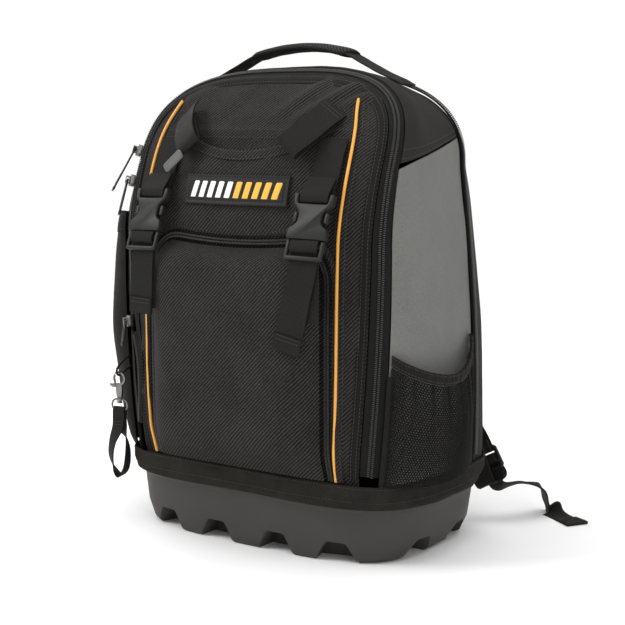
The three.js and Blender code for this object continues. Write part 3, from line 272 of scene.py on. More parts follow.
def front_point(x, z, lift=0.0):
    """The front panel's outer face."""
    x, z, lift = np.broadcast_arrays(np.asarray(x, float), np.asarray(z, float), np.asarray(lift, float))
    across = np.clip(np.abs(x) / front_half_width(z), 0, 1)
    rise = np.clip((z - shoulder_height) / (bag_height - shoulder_height), 0, 1)
    foot = 0.3 + 0.7 * ease((z - foot_height) / 50)
    crown = front_crown * foot * (1 - across**6) * (1 - rise**4)
    loose = panel_gape * gape_at(z) * np.clip((-x - 100) / 44, 0, 1) ** 2
    y = front_zip_y + bag_depth * SEAM_LINES[0][5] * lean_at(z) - crown - loose
    return np.stack([x, y - lift, z], axis=-1)


def pulled_in(x, z):
    """The unzipped edge of the front panel is pulled in."""
    return x + panel_pull * gape_at(z) * np.clip((-x - 119) / 24, 0, 1) ** 1.4


def panel_edge(t, inset=zip_width / 2 + 2):
    """The front panel's edge, inside the zip's seam line."""
    t = np.asarray(t, float)
    seam = body_point(t, 0.0)
    ahead = body_point(np.minimum(t + 0.003, 1), 0.0) - body_point(np.maximum(t - 0.003, 0), 0.0)
    inward = unit(np.stack([ahead[..., 2], 0 * t, -ahead[..., 0]], axis=-1)) * inset
    place = seam + inward
    return front_point(place[..., 0], place[..., 2])


def back_point(across, z):
    """The back panel's outer face, across from -1 to 1."""
    across, z = np.broadcast_arrays(np.asarray(across, float), np.asarray(z, float))
    crown = SEAM_LINES[last_seam][4] * bag_height
    rise = np.clip((z - shoulder_height) / (crown - shoulder_height), 0, 1)
    half = np.maximum(np.abs(body_point(climb_to(z, last_seam), last_seam)[..., 0]) - 2.2, 12)
    y = back_y + 6 * (1 - np.abs(across) ** 6) * (1 - rise**6)
    return np.stack([across * half, y, z - 3 * ease(rise)], axis=-1)


def base_outline(inset, front, z, count):
    """The base's outline, set in by a distance at its ends and another at front and back."""
    angle = 2 * math.pi * (np.arange(count) + 0.5) / count
    a, b = bag_half_width - 1 - inset, base_depth / 2 - front
    reach = 2 / outline_power
    cosine, sine = np.cos(angle), np.sin(angle)
    x = a * np.sign(cosine) * np.abs(cosine) ** reach
    y = b * np.sign(sine) * np.abs(sine) ** reach
    return np.stack([x, y, np.full(count, float(z))], axis=-1)


def polar(outline):
    """Reach of a closed outline by angle, as a function."""
    angle = np.arctan2(outline[:, 1], outline[:, 0])
    order = np.argsort(angle)
    reach = np.hypot(outline[:, 0], outline[:, 1])[order]
    return lambda a: np.interp(a, angle[order], reach, period=2 * math.pi)


def smooth_line(points, shares, closed=False, kind="centripetal"):
    """Points of a smooth curve through others, at shares of its way."""
    points = np.asarray(points, float)
    count = len(points)
    made = []
    for share in np.atleast_1d(shares):
        walk = (count if closed else count - 1) * share
        i = int(math.floor(walk))
        s = walk - i
        if not closed and i >= count - 1:
            i, s = count - 2, 1.0
        first = points[(i - 1) % count] if closed or i > 0 else 2 * points[0] - points[1]
        p1, p2 = points[i % count], points[(i + 1) % count]
        end = points[(i + 2) % count] if closed or i + 2 < count else 2 * points[-1] - points[-2]
        if kind == "centripetal":
            d0, d1, d2 = (math.sqrt(np.linalg.norm(b - a)) for a, b in ((first, p1), (p1, p2), (p2, end)))
            d1 = d1 if d1 > 1e-4 else 1.0
            d0 = d0 if d0 > 1e-4 else d1
            d2 = d2 if d2 > 1e-4 else d1
            t1 = ((p1 - first) / d0 - (p2 - first) / (d0 + d1) + (p2 - p1) / d1) * d1
            t2 = ((p2 - p1) / d1 - (end - p1) / (d1 + d2) + (end - p2) / d2) * d1
        else:
            t1, t2 = 0.5 * (p2 - first), 0.5 * (end - p1)
        made.append(
            p1 + t1 * s + (3 * (p2 - p1) - 2 * t1 - t2) * s**2 + (2 * (p1 - p2) + t1 + t2) * s**3
        )
    return np.array(made)


def walked(points, closed=False):
    """Distance along a polyline at each of its points."""
    steps = np.linalg.norm(np.diff(points, axis=0), axis=1)
    return np.concatenate([[0.0], np.cumsum(steps)])


def even_points(points, pitch):
    """Points a pitch apart along a polyline, with their directions."""
    way = walked(points)
    count = max(int(way[-1] / pitch), 1)
    at = (np.arange(count) + 0.5) * (way[-1] / count)
    found = np.stack([np.interp(at, way, points[:, k]) for k in range(3)], axis=-1)
    ahead = np.stack([np.interp(at + 0.3, way, points[:, k]) for k in range(3)], axis=-1)
    behind = np.stack([np.interp(at - 0.3, way, points[:, k]) for k in range(3)], axis=-1)
    return found, unit(ahead - behind)


# Meshes




def sheet_mesh(grid, thickness, uv):
    """A closed cloth wall: grid is its outer face, with UV in millimetres at each of its points."""
    rows, columns = grid.shape[:2]
    inner = grid - grid_normals(grid) * thickness
    points = np.concatenate([grid.reshape(-1, 3), inner.reshape(-1, 3)])
    flat_uv = np.asarray(uv, float).reshape(-1, 2)
    half = rows * columns
    index = np.arange(half).reshape(rows, columns)
    a, b, c, d = index[:-1, :-1], index[1:, :-1], index[1:, 1:], index[:-1, 1:]
    outer = np.stack([a, b, c, d], axis=-1).reshape(-1, 4)
    inner_faces = np.stack([a, d, c, b], axis=-1).reshape(-1, 4) + half
    rim = np.concatenate([index[0, ::-1], index[1:, 0], index[-1, 1:], index[-2:0:-1, -1]])
    following = np.roll(rim, -1)
    rims = np.stack([rim, following, following + half, rim + half], axis=-1)
    faces = np.concatenate([outer, inner_faces, rims])
    sample = points[faces]
    volume = np.einsum("ij,ij->i", sample[:, 0], np.cross(sample[:, 1], sample[:, 2])).sum()
    volume += np.einsum("ij,ij->i", sample[:, 0], np.cross(sample[:, 2], sample[:, 3])).sum()
    if volume < 0:
        faces = faces[:, ::-1]
    return points, faces.tolist(), flat_uv[faces % half].reshape(-1, 2)


def grid_normals(grid):
    along = np.gradient(grid, axis=0)
    across = np.gradient(grid, axis=1)
    return unit(np.cross(along, across))


def loft_mesh(sections, along, around, ring=False):
    """A solid through closed sections. Along has one value a section, around one more than its points."""
    sections = np.asarray(sections, float)
    rows, count = sections.shape[:2]
    points = sections.reshape(-1, 3)
    i = np.arange(rows if ring else rows - 1)[:, None]
    j = np.arange(count)[None, :]
    following, beside = (i + 1) % rows, (j + 1) % count
    a, b = i * count + j, following * count + j
    c, d = following * count + beside, i * count + beside
    faces = np.stack(np.broadcast_arrays(a, b, c, d), axis=-1).reshape(-1, 4)
    along, around = np.asarray(along, float), np.asarray(around, float)
    v0, v1 = along[i] + 0 * j, along[i + 1] + 0 * j
    u0, u1 = around[j] + 0 * i, around[j + 1] + 0 * i
    corner = np.stack([np.stack(p, -1) for p in ((u0, v0), (u0, v1), (u1, v1), (u1, v0))], axis=2)
    corner = corner.reshape(-1, 4, 2)
    sample = points[faces]
    volume = np.einsum("ij,ij->i", sample[:, 0], np.cross(sample[:, 1], sample[:, 2])).sum()
    volume += np.einsum("ij,ij->i", sample[:, 0], np.cross(sample[:, 2], sample[:, 3])).sum()
    faces, corner = faces.tolist(), corner.tolist()
    if not ring:
        for row, turned in ((0, False), (rows - 1, True)):
            cap = list(range(row * count, (row + 1) * count))
            faces.append(cap[::-1] if turned else cap)
            uv = [[around[k], along[row]] for k in range(count)]
            corner.append(uv[::-1] if turned else uv)
        middle = points.mean(axis=0)
        shifted = sample - middle
        volume = np.einsum("ij,ij->i", shifted[:, 0], np.cross(shifted[:, 1], shifted[:, 2])).sum()
        first = points[faces[-2]] - middle
        final = points[faces[-1]] - middle
        for cap in (first, final):
            for k in range(1, len(cap) - 1):
                volume += float(np.dot(cap[0], np.cross(cap[k], cap[k + 1])))
    if volume < 0:
        faces = [face[::-1] for face in faces]
        corner = [face[::-1] for face in corner]
    return points, faces, np.array([uv for face in corner for uv in face])


def mesh_object(name, points, faces, corner_uv, material, smooth_angle=40.0):
    """An object at the origin whose points are millimetres above body_lift."""
    mesh = bpy.data.meshes.new(name)
    place = (np.asarray(points, float) + (0.0, 0.0, body_lift)) * MM
    mesh.from_pydata(place.tolist(), [], faces)
    if corner_uv is not None:
        layer = mesh.uv_layers.new(name="UVMap")
        layer.data.foreach_set("uv", (np.asarray(corner_uv, float) * MM).astype(np.float32).ravel())
    mesh.materials.append(material)
    mesh.shade_smooth()
    if smooth_angle < 180:
        mesh.set_sharp_from_angle(angle=math.radians(smooth_angle))
    mesh.update()
    made = bpy.data.objects.new(name, mesh)
    bpy.context.scene.collection.objects.link(made)
    return made


def settle(made, node, replaced=(), body=None):
    """Puts a piece on the body of a node and hides the solids it replaces."""
    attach(made, body or BODY_OF[node])
    if replaced:
        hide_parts(*replaced)
    return made


def joined(parts):
    """Points, faces and corners of several meshes as one."""
    points, faces, corners, start = [], [], [], 0
    for part_points, part_faces, part_corners in parts:
        points.append(np.asarray(part_points))
        faces.extend([[k + start for k in face] for face in part_faces])
        corners.append(np.asarray(part_corners))
        start += len(part_points)
    return np.concatenate(points), faces, np.concatenate(corners)


def sewn_cloth(name, node, grid, thickness, uv, material, replaces=True):
    """A cloth panel that stands for its node."""
    made = mesh_object(name, *sheet_mesh(grid, thickness, uv), material, 60)
    return settle(made, node, (node,) if replaces else ())


def band_profile(width, thickness, columns=7):
    """Half a turn of a flat band's rounded section: across and out, from its left edge round the top."""
    across = np.linspace(-1, 1, columns)
    top = [(a * (width / 2 - thickness * 0.3), thickness / 2) for a in across]
    bottom = [(-a * (width / 2 - thickness * 0.3), -thickness / 2) for a in across]
    return np.array(top + [(width / 2, 0.0)] + bottom + [(-width / 2, 0.0)])


def band_mesh(line, width, thickness, steps, closed=False, swell=None, taper=None):
    """A webbing band along a line of places and directions of its width."""
    steps = steps if closed else steps + 1
    shares = np.arange(steps) / (steps if closed else steps - 1)
    at = np.array([row[0] for row in line], float)
    sideways = np.array([row[1] for row in line], float)
    path = smooth_line(at, shares, closed)
    small = 1e-4
    ahead = unit(
        smooth_line(at, np.clip(shares + small, 0, 1) if not closed else (shares + small) % 1, closed)
        - smooth_line(at, np.clip(shares - small, 0, 1) if not closed else (shares - small) % 1, closed)
    )
    across = smooth_line(sideways, shares, closed, "catmullrom")
    across = unit(across - ahead * np.sum(across * ahead, axis=1, keepdims=True))
    out = unit(np.cross(ahead, across))
    profile = band_profile(width, thickness)
    sections = []
    for k in range(len(shares)):
        extra = swell(shares[k]) if swell else 1.0
        narrow = taper(shares[k]) if taper else 1.0
        sections.append(
            path[k]
            + across[k] * profile[:, :1] * narrow
            + out[k] * np.sign(profile[:, 1:]) * np.abs(profile[:, 1:]) * extra
        )
    way = walked(path)
    along = list(way) + ([way[-1] + np.linalg.norm(path[0] - path[-1])] if closed else [])
    around = np.concatenate([profile[:, 0], profile[:1, 0]])
    return loft_mesh(sections, along, around, closed)


def rod_mesh(points, half_width, half_height, sides, ups, ring=False):
    """A round or flattened rod along points."""
    points = np.asarray(points, float)
    if ring:
        ahead = unit(np.roll(points, -1, axis=0) - np.roll(points, 1, axis=0))
    else:
        ahead = unit(np.gradient(points, axis=0))
    up = np.broadcast_to(np.asarray(ups, float), points.shape)
    up = unit(up - ahead * np.sum(up * ahead, axis=1, keepdims=True))
    across = np.cross(ahead, up)
    angle = 2 * math.pi * (np.arange(sides) + 0.5) / sides
    wide = np.broadcast_to(np.asarray(half_width, float), len(points))[:, None, None]
    high = np.broadcast_to(np.asarray(half_height, float), len(points))[:, None, None]
    sections = (
        points[:, None]
        + across[:, None] * np.cos(angle)[None, :, None] * wide
        + up[:, None] * np.sin(angle)[None, :, None] * high
    )
    way = walked(points)
    along = list(way) + ([way[-1] + np.linalg.norm(points[0] - points[-1])] if ring else [])
    girth = math.pi * (float(np.mean(wide)) + float(np.mean(high)))
    return loft_mesh(sections, along, np.arange(sides + 1) / sides * girth, ring)


def refined(name, node, material, bevel, segments=2, angle=28.0, replaces=True, subdivide=0):
    """A node's solid with its doubles merged and its edges rounded."""
    mesh = frame["nodes"][node].data.copy()
    mesh.name = name
    work = bmesh.new()
    work.from_mesh(mesh)
    bmesh.ops.remove_doubles(work, verts=work.verts, dist=2e-5)
    bmesh.ops.dissolve_limit(
        work, angle_limit=math.radians(1.5), verts=work.verts, edges=work.edges
    )
    work.to_mesh(mesh)
    work.free()
    mesh.materials.clear()
    mesh.materials.append(material)
    made = bpy.data.objects.new(name, mesh)
    bpy.context.scene.collection.objects.link(made)
    rounding = made.modifiers.new("Rounded edges", "BEVEL")
    rounding.width = bevel * MM
    rounding.segments = segments
    rounding.limit_method = "ANGLE"
    rounding.angle_limit = math.radians(angle)
    rounding.use_clamp_overlap = True
    made = applied(made)
    made.data.shade_smooth()
    made.data.set_sharp_from_angle(angle=math.radians(32))
    return settle(made, node, (node,) if replaces else ())


def applied(made):
    """Replaces an object's mesh by what its modifiers make of it."""
    graph = bpy.context.evaluated_depsgraph_get()
    mesh = bpy.data.meshes.new_from_object(made.evaluated_get(graph))
    made.modifiers.clear()
    old = made.data
    made.data = mesh
    mesh.name = made.name
    if old.users == 0:
        bpy.data.meshes.remove(old)
    return made


# Geometry Nodes for what repeats


def repeat_tree():
    """A tree that puts one small rounded shape on each point, turned along and up."""
    tree = bpy.data.node_groups.get("Repeated shape")
    if tree:
        return tree
    tree = bpy.data.node_groups.new("Repeated shape", "GeometryNodeTree")
    face = tree.interface
    face.new_socket("Geometry", in_out="INPUT", socket_type="NodeSocketGeometry")
    for name in ("Length", "Width", "Height"):
        face.new_socket(name, in_out="INPUT", socket_type="NodeSocketFloat")
    face.new_socket("Material", in_out="INPUT", socket_type="NodeSocketMaterial")
    face.new_socket("Geometry", in_out="OUTPUT", socket_type="NodeSocketGeometry")
    new, link = tree.nodes.new, tree.links.new
    source, result = new("NodeGroupInput"), new("NodeGroupOutput")
    shape = new("GeometryNodeMeshUVSphere")
    shape.inputs["Segments"].default_value = 8
    shape.inputs["Rings"].default_value = 5
    shape.inputs["Radius"].default_value = 0.5
    size = new("ShaderNodeCombineXYZ")
    for axis, name in zip("XYZ", ("Length", "Width", "Height")):
        link(source.outputs[name], size.inputs[axis])
    scaled = new("GeometryNodeTransform")
    link(shape.outputs["Mesh"], scaled.inputs["Geometry"])
    link(size.outputs[0], scaled.inputs["Scale"])
    turned = None
    for name, axis, pivot in (("along", "X", "AUTO"), ("up", "Z", "X")):
        value = new("GeometryNodeInputNamedAttribute")
        value.data_type = "FLOAT_VECTOR"
        value.inputs["Name"].default_value = name
        turn = new("FunctionNodeAlignRotationToVector")
        turn.axis, turn.pivot_axis = axis, pivot
        link(value.outputs["Attribute"], turn.inputs["Vector"])
        if turned:
            link(turned.outputs["Rotation"], turn.inputs["Rotation"])
        turned = turn
    spread = new("GeometryNodeInstanceOnPoints")
    link(source.outputs["Geometry"], spread.inputs["Points"])
    link(scaled.outputs["Geometry"], spread.inputs["Instance"])
    link(turned.outputs["Rotation"], spread.inputs["Rotation"])
    real = new("GeometryNodeRealizeInstances")
    link(spread.outputs["Instances"], real.inputs["Geometry"])
    painted = new("GeometryNodeSetMaterial")
    link(real.outputs["Geometry"], painted.inputs["Geometry"])
    link(source.outputs["Material"], painted.inputs["Material"])
    link(painted.outputs["Geometry"], result.inputs["Geometry"])
    return tree


def with_tree(made, tree, values):
    """Runs a tree on an object with named inputs and keeps the plain mesh it makes."""
    modifier = made.modifiers.new(tree.name, "NODES")
    modifier.node_group = tree
    for item in tree.interface.items_tree:
        if item.in_out == "INPUT" and item.name in values:
            modifier[item.identifier] = values[item.name]
    made = applied(made)
    made.data.shade_smooth()
    return made


def repeated(name, rows, size, material):
    """One object of small shapes at rows of (places, along, up), in millimetres."""
    places = np.concatenate([row[0] for row in rows])
    mesh = bpy.data.meshes.new(name)
    mesh.from_pydata(((places + (0, 0, body_lift)) * MM).tolist(), [], [])
    for key, k in (("along", 1), ("up", 2)):
        values = np.concatenate([np.broadcast_to(row[k], row[0].shape) for row in rows])
        attribute = mesh.attributes.new(key, "FLOAT_VECTOR", "POINT")
        attribute.data.foreach_set("vector", values.astype(np.float32).ravel())
    made = bpy.data.objects.new(name, mesh)
    bpy.context.scene.collection.objects.link(made)
    values = dict(zip(("Length", "Width", "Height"), (k * MM for k in size)), Material=material)
    return with_tree(made, repeat_tree(), values)


def seam_row(points, ups, pitch, generator=None, sunk=0.0):
    """Places of stitches along a seam, each turned along it, from its points and outward directions."""
    points, ups = np.asarray(points, float), np.asarray(ups, float)
    found, along = even_points(points, pitch)
    way = walked(points)
    at = (np.arange(len(found)) + 0.5) * (way[-1] / len(found))
    up = unit(np.stack([np.interp(at, way, ups[:, k]) for k in range(3)], axis=-1))
    if generator is not None:
        along = unit(along + np.cross(up, along) * generator.normal(0, 0.035, (len(found), 1)))
    return found - up * sunk, along, up


# Materials


class Wire:
    """One socket of a material, on which plain arithmetic adds Math nodes."""

    def __init__(self, surface, socket):
        self.surface = surface
        self.socket = socket

    def maths(self, operation, *values):
        return self.surface.add("ShaderNodeMath", {"operation": operation}, *values)

    def __add__(self, other):
        return self.maths("ADD", self, other)

    def __radd__(self, other):
        return self.maths("ADD", other, self)

    def __sub__(self, other):
        return self.maths("SUBTRACT", self, other)

    def __rsub__(self, other):
        return self.maths("SUBTRACT", other, self)

    def __mul__(self, other):
        return self.maths("MULTIPLY", self, other)

    def __rmul__(self, other):
        return self.maths("MULTIPLY", other, self)

    def __truediv__(self, other):
        return self.maths("DIVIDE", self, other)

    def __rtruediv__(self, other):
        return self.maths("DIVIDE", other, self)

    def __lt__(self, other):
        return self.maths("LESS_THAN", self, other)

    def __gt__(self, other):
        return self.maths("GREATER_THAN", self, other)

    def __abs__(self):
        return self.maths("ABSOLUTE", self)

    def fraction(self):
        return self.maths("FRACT", self)

    def floor(self):
        return self.maths("FLOOR", self)

    def wave(self):
        """A wave from -1 to 1 that comes back once for each whole number."""
        return self.maths("SINE", self * (2 * math.pi))

    def hump(self):
        """A rounded hump from 0 to 1 over each whole number."""
        off = self.fraction() * 2 - 1
        return 1 - off * off


class Surface:
    """A material with one shader, and the nodes that vary it."""

    def __init__(self, name, base, roughness, **uniform):
        self.material = bpy.data.materials.new(name)
        self.material.use_nodes = True
        self.tree = self.material.node_tree
        self.tree.nodes.clear()
        self.shader = self.tree.nodes.new("ShaderNodeBsdfPrincipled")
        result = self.tree.nodes.new("ShaderNodeOutputMaterial")
        self.tree.links.new(self.shader.outputs[0], result.inputs["Surface"])
        self.base = tuple(base) + (1.0,)
        self.shader.inputs["Base Color"].default_value = self.base
        self.shader.inputs["Roughness"].default_value = roughness
        self.material.diffuse_color = self.base
        for key, value in uniform.items():
            self.shader.inputs[key.replace("_", " ")].default_value = value

    def add(self, kind, settings, *values, output=0, **named):
        """A node with its settings, then its sockets by order or by name, as a wire of one output."""
        node = self.tree.nodes.new(kind)
        for key, value in settings.items():
            setattr(node, key, value)
        for key, value in list(enumerate(values)) + list(named.items()):
            socket = node.inputs[key.replace("_", " ") if isinstance(key, str) else key]
            if isinstance(value, Wire):
                self.tree.links.new(value.socket, socket)
            else:
                socket.default_value = value
        return Wire(self, node.outputs[output])

    def uv(self):
        """The cloth's own across and along, in metres."""
        place = self.add("ShaderNodeTexCoord", {}, output="UV")
        node = self.tree.nodes.new("ShaderNodeSeparateXYZ")
        self.tree.links.new(place.socket, node.inputs[0])
        return Wire(self, node.outputs[0]), Wire(self, node.outputs[1])

    def place(self):
        """The object's own coordinates."""
        return self.add("ShaderNodeTexCoord", {}, output="Object")

    def noise(self, scale, detail=2.0, place=None):
        """Noise from 0 to 1, a number of times a metre."""
        vector = place or self.place()
        return self.add("ShaderNodeTexNoise", {}, Vector=vector, Scale=scale, Detail=detail)

    def tint(self, factor, dark, light):
        """The base colour, from one share of it to another by a factor from 0 to 1."""
        settings = {"data_type": "RGBA", "clamp_factor": True}
        node = self.tree.nodes.new("ShaderNodeMix")
        for key, value in settings.items():
            setattr(node, key, value)
        self.tree.links.new(factor.socket, node.inputs[0])
        node.inputs[6].default_value = tuple(k * dark for k in self.base[:3]) + (1.0,)
        node.inputs[7].default_value = tuple(k * light for k in self.base[:3]) + (1.0,)
        self.tree.links.new(node.outputs[2], self.shader.inputs["Base Color"])

    def roughen(self, wire):
        self.tree.links.new(wire.socket, self.shader.inputs["Roughness"])

    def relief(self, height, distance, strength=1.0):
        """A bump of a height from 0 to 1 that stands so many metres."""
        bump = self.add("ShaderNodeBump", {}, Height=height, Distance=distance, Strength=strength)
        self.tree.links.new(bump.socket, self.shader.inputs["Normal"])


def twill(surface, yarn, dark, light, depth, worn=0.16):
    """A two by two twill, its threads as humps; its colour follows their height, with painted shade in the
    gaps and painted light on the thread tops.
    """
    across, along = surface.uv()
    a, b = across * (1 / yarn), along * (1 / yarn)
    over = ((a.floor() + b.floor()) * 0.25).fraction() < 0.5
    height = over * (0.45 + 0.55 * a.hump() * b.hump()) + (1 - over) * b.hump() * 0.16
    rubbed = surface.noise(26.0, 3.0)
    fleck = surface.noise(620.0, 2.0)
    # Painted shade and painted light: the colour darkens where the threads dip and lightens on their tops;
    # the two noises add random tone.
    surface.tint(height * (0.8 + worn * (rubbed - 0.5) * 5 + (fleck - 0.5) * 1.5), dark, light)
    surface.relief(height, depth)
    surface.roughen(0.66 + 0.2 * rubbed)


def plain_weave(surface, yarn, dark, light, depth):
    """A fine plain weave, its colour following the threads' height: painted shade between the threads and
    painted light on their tops.
    """
    across, along = surface.uv()
    a, b = across * (1 / yarn), along * (1 / yarn)
    over = ((a.floor() + b.floor()) * 0.5).fraction() < 0.5
    height = over * a.hump() + (1 - over) * b.hump()
    rubbed = surface.noise(30.0, 3.0)
    fleck = surface.noise(1300.0, 1.0)
    # Painted shade and painted light: darker where the threads dip, lighter on their tops; the noises add
    # random tone.
    surface.tint(height * (0.55 + 0.9 * (rubbed - 0.5) + 0.9 * (fleck - 0.5)) + 0.12, dark, light)
    surface.relief(height, depth)
    surface.roughen(0.6 + 0.25 * rubbed)


def ribbed(surface, rib, dark, light, depth, slant=0.5):
    """Webbing: ribs along the band, each crossed by slanting threads; its colour follows their height,
    painted shade between the ribs and painted light on their tops.
    """
    across, along = surface.uv()
    a = across * (1 / rib)
    side = (a.floor() * 0.5).fraction() * 4 - 1
    b = along * (1 / (rib * 1.25)) + side * slant * a.fraction()
    height = a.hump() * (0.5 + 0.5 * b.hump())
    fleck = surface.noise(1100.0, 1.0)
    rubbed = surface.noise(45.0, 2.0)
    # Painted shade and painted light: darker between the ribs, lighter on their tops; the noises add random
    # tone.
    surface.tint(height * (0.75 + (fleck - 0.5) * 1.1 + (rubbed - 0.5) * 0.6), dark, light)
    surface.relief(height, depth)
    surface.roughen(0.55 + 0.25 * rubbed)


def fuzzy_tape(surface, rib, dark, light, depth):
    """A soft woven tape with a hairy face; its colour follows the weave's height, painted shade in its dips
    and painted light on its tops, with random flecks.
    """
    across, along = surface.uv()
    a, b = across * (1 / rib), along * (1 / rib)
    fleck = surface.noise(700.0, 4.0)
    rubbed = surface.noise(60.0, 3.0)
    height = (a + (fleck - 0.5) * 1.3).hump() * 0.5 + (b + fleck * 0.9).hump() * 0.5
    # Painted shade and painted light: darker in the weave's dips, lighter on its tops; the fine noise adds
    # random flecks.
    surface.tint(height * (0.5 + (rubbed - 0.5) * 0.8) + fleck * 0.45 - 0.1, dark, light)
    surface.relief(height + fleck, depth)


def grained(surface, scale, dark, light, depth, low=0.36, high=0.52):
    """Moulded plastic or rubber with a fine even grain."""
    grain = surface.noise(scale, 2.0)
    rubbed = surface.noise(14.0, 4.0)
    surface.tint(0.5 + (rubbed - 0.5) * 1.2 + (grain - 0.5) * 0.8, dark, light)
    surface.relief(grain, depth)
    surface.roughen(low + (high - low) * (rubbed * 0.7 + grain * 0.6))


def twisted(surface, pitch, dark, light, depth):
    """A twisted cord's slanting strands, with painted shade between them and painted light on their tops."""
    across, along = surface.uv()
    strand = (along * (1 / pitch) + across * (0.9 / pitch)).hump()
    fleck = surface.noise(1500.0, 1.0)
    # Painted shade and painted light: darker between the strands, lighter on their crowns; the noise adds
    # random flecks.
    surface.tint(strand * 0.8 + (fleck - 0.5) * 0.5 + 0.1, dark, light)
    surface.relief(strand, depth)


def make_surfaces():
    """Every material of the bag, by name."""
    sizes, colours = bpy.context.scene.backpack_sizes, bpy.context.scene.backpack_colours
    soft = {"Specular_IOR_Level": 0.13}
    made = {}

    def cloth_surface(key, name, base, rough, pattern, *values, **uniform):
        surface = Surface(name, base, rough, **uniform)
        pattern(surface, *values)
        made[key] = surface.material

    # For the woven cloths, tapes and cords, the two shares after the yarn or rib size set how dark the
    # painted shade in the weave's dips is and how bright the painted light on its tops is; for the grained
    # plastics they set random tone.
    cloth_surface(
        "cordura", "Coarse front cloth", colours.cordura, 0.8, twill,
        sizes.cordura_yarn, 0.04, 4.2, 0.00042, **soft
    )
    cloth_surface(
        "smooth", "Smooth black cloth", colours.smooth, 0.75, plain_weave,
        sizes.smooth_yarn, 0.4, 2.2, 0.0002, **soft
    )
    cloth_surface(
        "grey", "Grey side cloth", colours.grey, 0.8, twill, sizes.grey_yarn, 0.62, 1.24, 0.00016, **soft
    )
    cloth_surface(
        "webbing", "Black webbing", colours.webbing, 0.65, ribbed,
        sizes.webbing_rib, 0.2, 3.2, 0.00034, **soft
    )
    cloth_surface(
        "hem", "Smooth black hem", colours.webbing, 0.6, plain_weave, 0.00042, 0.6, 1.5, 0.00008, **soft
    )
    cloth_surface(
        "tape", "Zip tape", colours.webbing, 0.7, ribbed, 0.0008, 0.5, 1.8, 0.00014, **soft
    )
    cloth_surface(
        "binding", "Fuzzy binding", colours.binding, 0.95, fuzzy_tape,
        0.0011, 0.35, 2.4, 0.0005, Specular_IOR_Level=0.12
    )
    cloth_surface(
        "piping", "Orange cord", colours.piping, 0.5, twisted,
        0.0021, 0.62, 1.1, 0.00028, Specular_IOR_Level=0.35
    )
    cloth_surface(
        "base", "Base plastic", colours.base, 0.5, grained,
        1400.0, 0.8, 1.2, 0.00007, 0.46, 0.62, Specular_IOR_Level=0.3
    )
    cloth_surface(
        "plastic", "Buckle plastic", colours.plastic, 0.4, grained, 1800.0, 0.8, 1.25, 0.00004, 0.4, 0.55,
        Specular_IOR_Level=0.34,
    )
    cloth_surface(
        "rubber", "Soft rubber", colours.rubber, 0.6, grained, 2200.0, 0.8, 1.25, 0.00004, 0.5, 0.66,
        Specular_IOR_Level=0.25,
    )
    cloth_surface(
        "tab", "Pale tab", colours.tab, 0.6, grained,
        2000.0, 0.9, 1.1, 0.00004, 0.5, 0.7, Specular_IOR_Level=0.35
    )
    cloth_surface(
        "metal", "Dark metal", colours.metal, 0.3, grained, 500.0, 0.7, 1.2, 0.00002, 0.2, 0.4, Metallic=1.0
    )
    cloth_surface(
        "net", "Net thread", colours.webbing, 0.7, twisted, 0.0012, 0.6, 2.2, 0.0001, **soft
    )
    cloth_surface(
        "foam", "Air mesh", colours.smooth, 0.85, ribbed, 0.0021, 0.4, 1.9, 0.0004, 0.0, **soft
    )
    made["coil"] = Surface("Zip coil", (0.03, 0.029, 0.028), 0.3, Specular_IOR_Level=0.7).material
    made["thread"] = Surface("Sewing thread", (0.052, 0.048, 0.043), 0.6, Specular_IOR_Level=0.35).material
    made["dark_thread"] = Surface("Dark thread", (0.03, 0.028, 0.026), 0.6, Specular_IOR_Level=0.35).material
    made["light_bar"] = Surface("Light bar", colours.light_bar, 0.55).material
    made["warm_bar"] = Surface("Warm bar", colours.warm_bar, 0.55).material
    return made


surfaces = {}


# Cloth relief


def laid_uv(grid):
    """Across and along distances of a grid laid flat, from its middle column."""
    across = np.linalg.norm(np.diff(grid, axis=1), axis=-1)
    u = np.concatenate([np.zeros((grid.shape[0], 1)), np.cumsum(across, axis=1)], axis=1)
    middle = grid.shape[1] // 2
    v = walked(grid[:, middle])
    return np.stack([u - u[:, middle : middle + 1], np.broadcast_to(v[:, None], u.shape)], axis=-1)


def waves(points, size, seed, count=7):
    """Soft unevenness from -1 to 1, about the same every time."""
    draw = np.random.default_rng(seed)
    total = 0.0
    for _ in range(count):
        direction = unit(draw.normal(size=3)) * (2 * math.pi / (size * draw.uniform(0.7, 1.6)))
        total = total + np.sin(points @ direction + draw.uniform(0, 2 * math.pi))
    return total / count**0.5 / 1.4


def creases(points, table, axes=(0, 2)):
    """Height of folds given as (from, to, height, half width), seen along the third axis."""
    flat = points[..., axes]
    total = np.zeros(flat.shape[:-1])
    for start, end, height, half in table:
        a, b = np.array(start, float), np.array(end, float)
        way = b - a
        share = np.clip(((flat - a) @ way) / (way @ way), 0, 1)
        off = flat - a - share[..., None] * way
        fade = np.sin(math.pi * np.clip(share * 0.8 + 0.1, 0, 1)) ** 0.7
        total += height * fade * np.exp(-(np.linalg.norm(off, axis=-1) ** 2) / (half * half))
    return total


def raised(grid, height):
    """A grid moved outwards by a height at each point."""
    return grid + grid_normals(grid) * np.asarray(height)[..., None]


def outward(grid, direction):
    """A grid whose normals point along a rough direction."""
    normals = grid_normals(grid)
    facing = np.sum(normals * np.asarray(direction, float)) > 0
    return grid if facing else grid[:, ::-1]


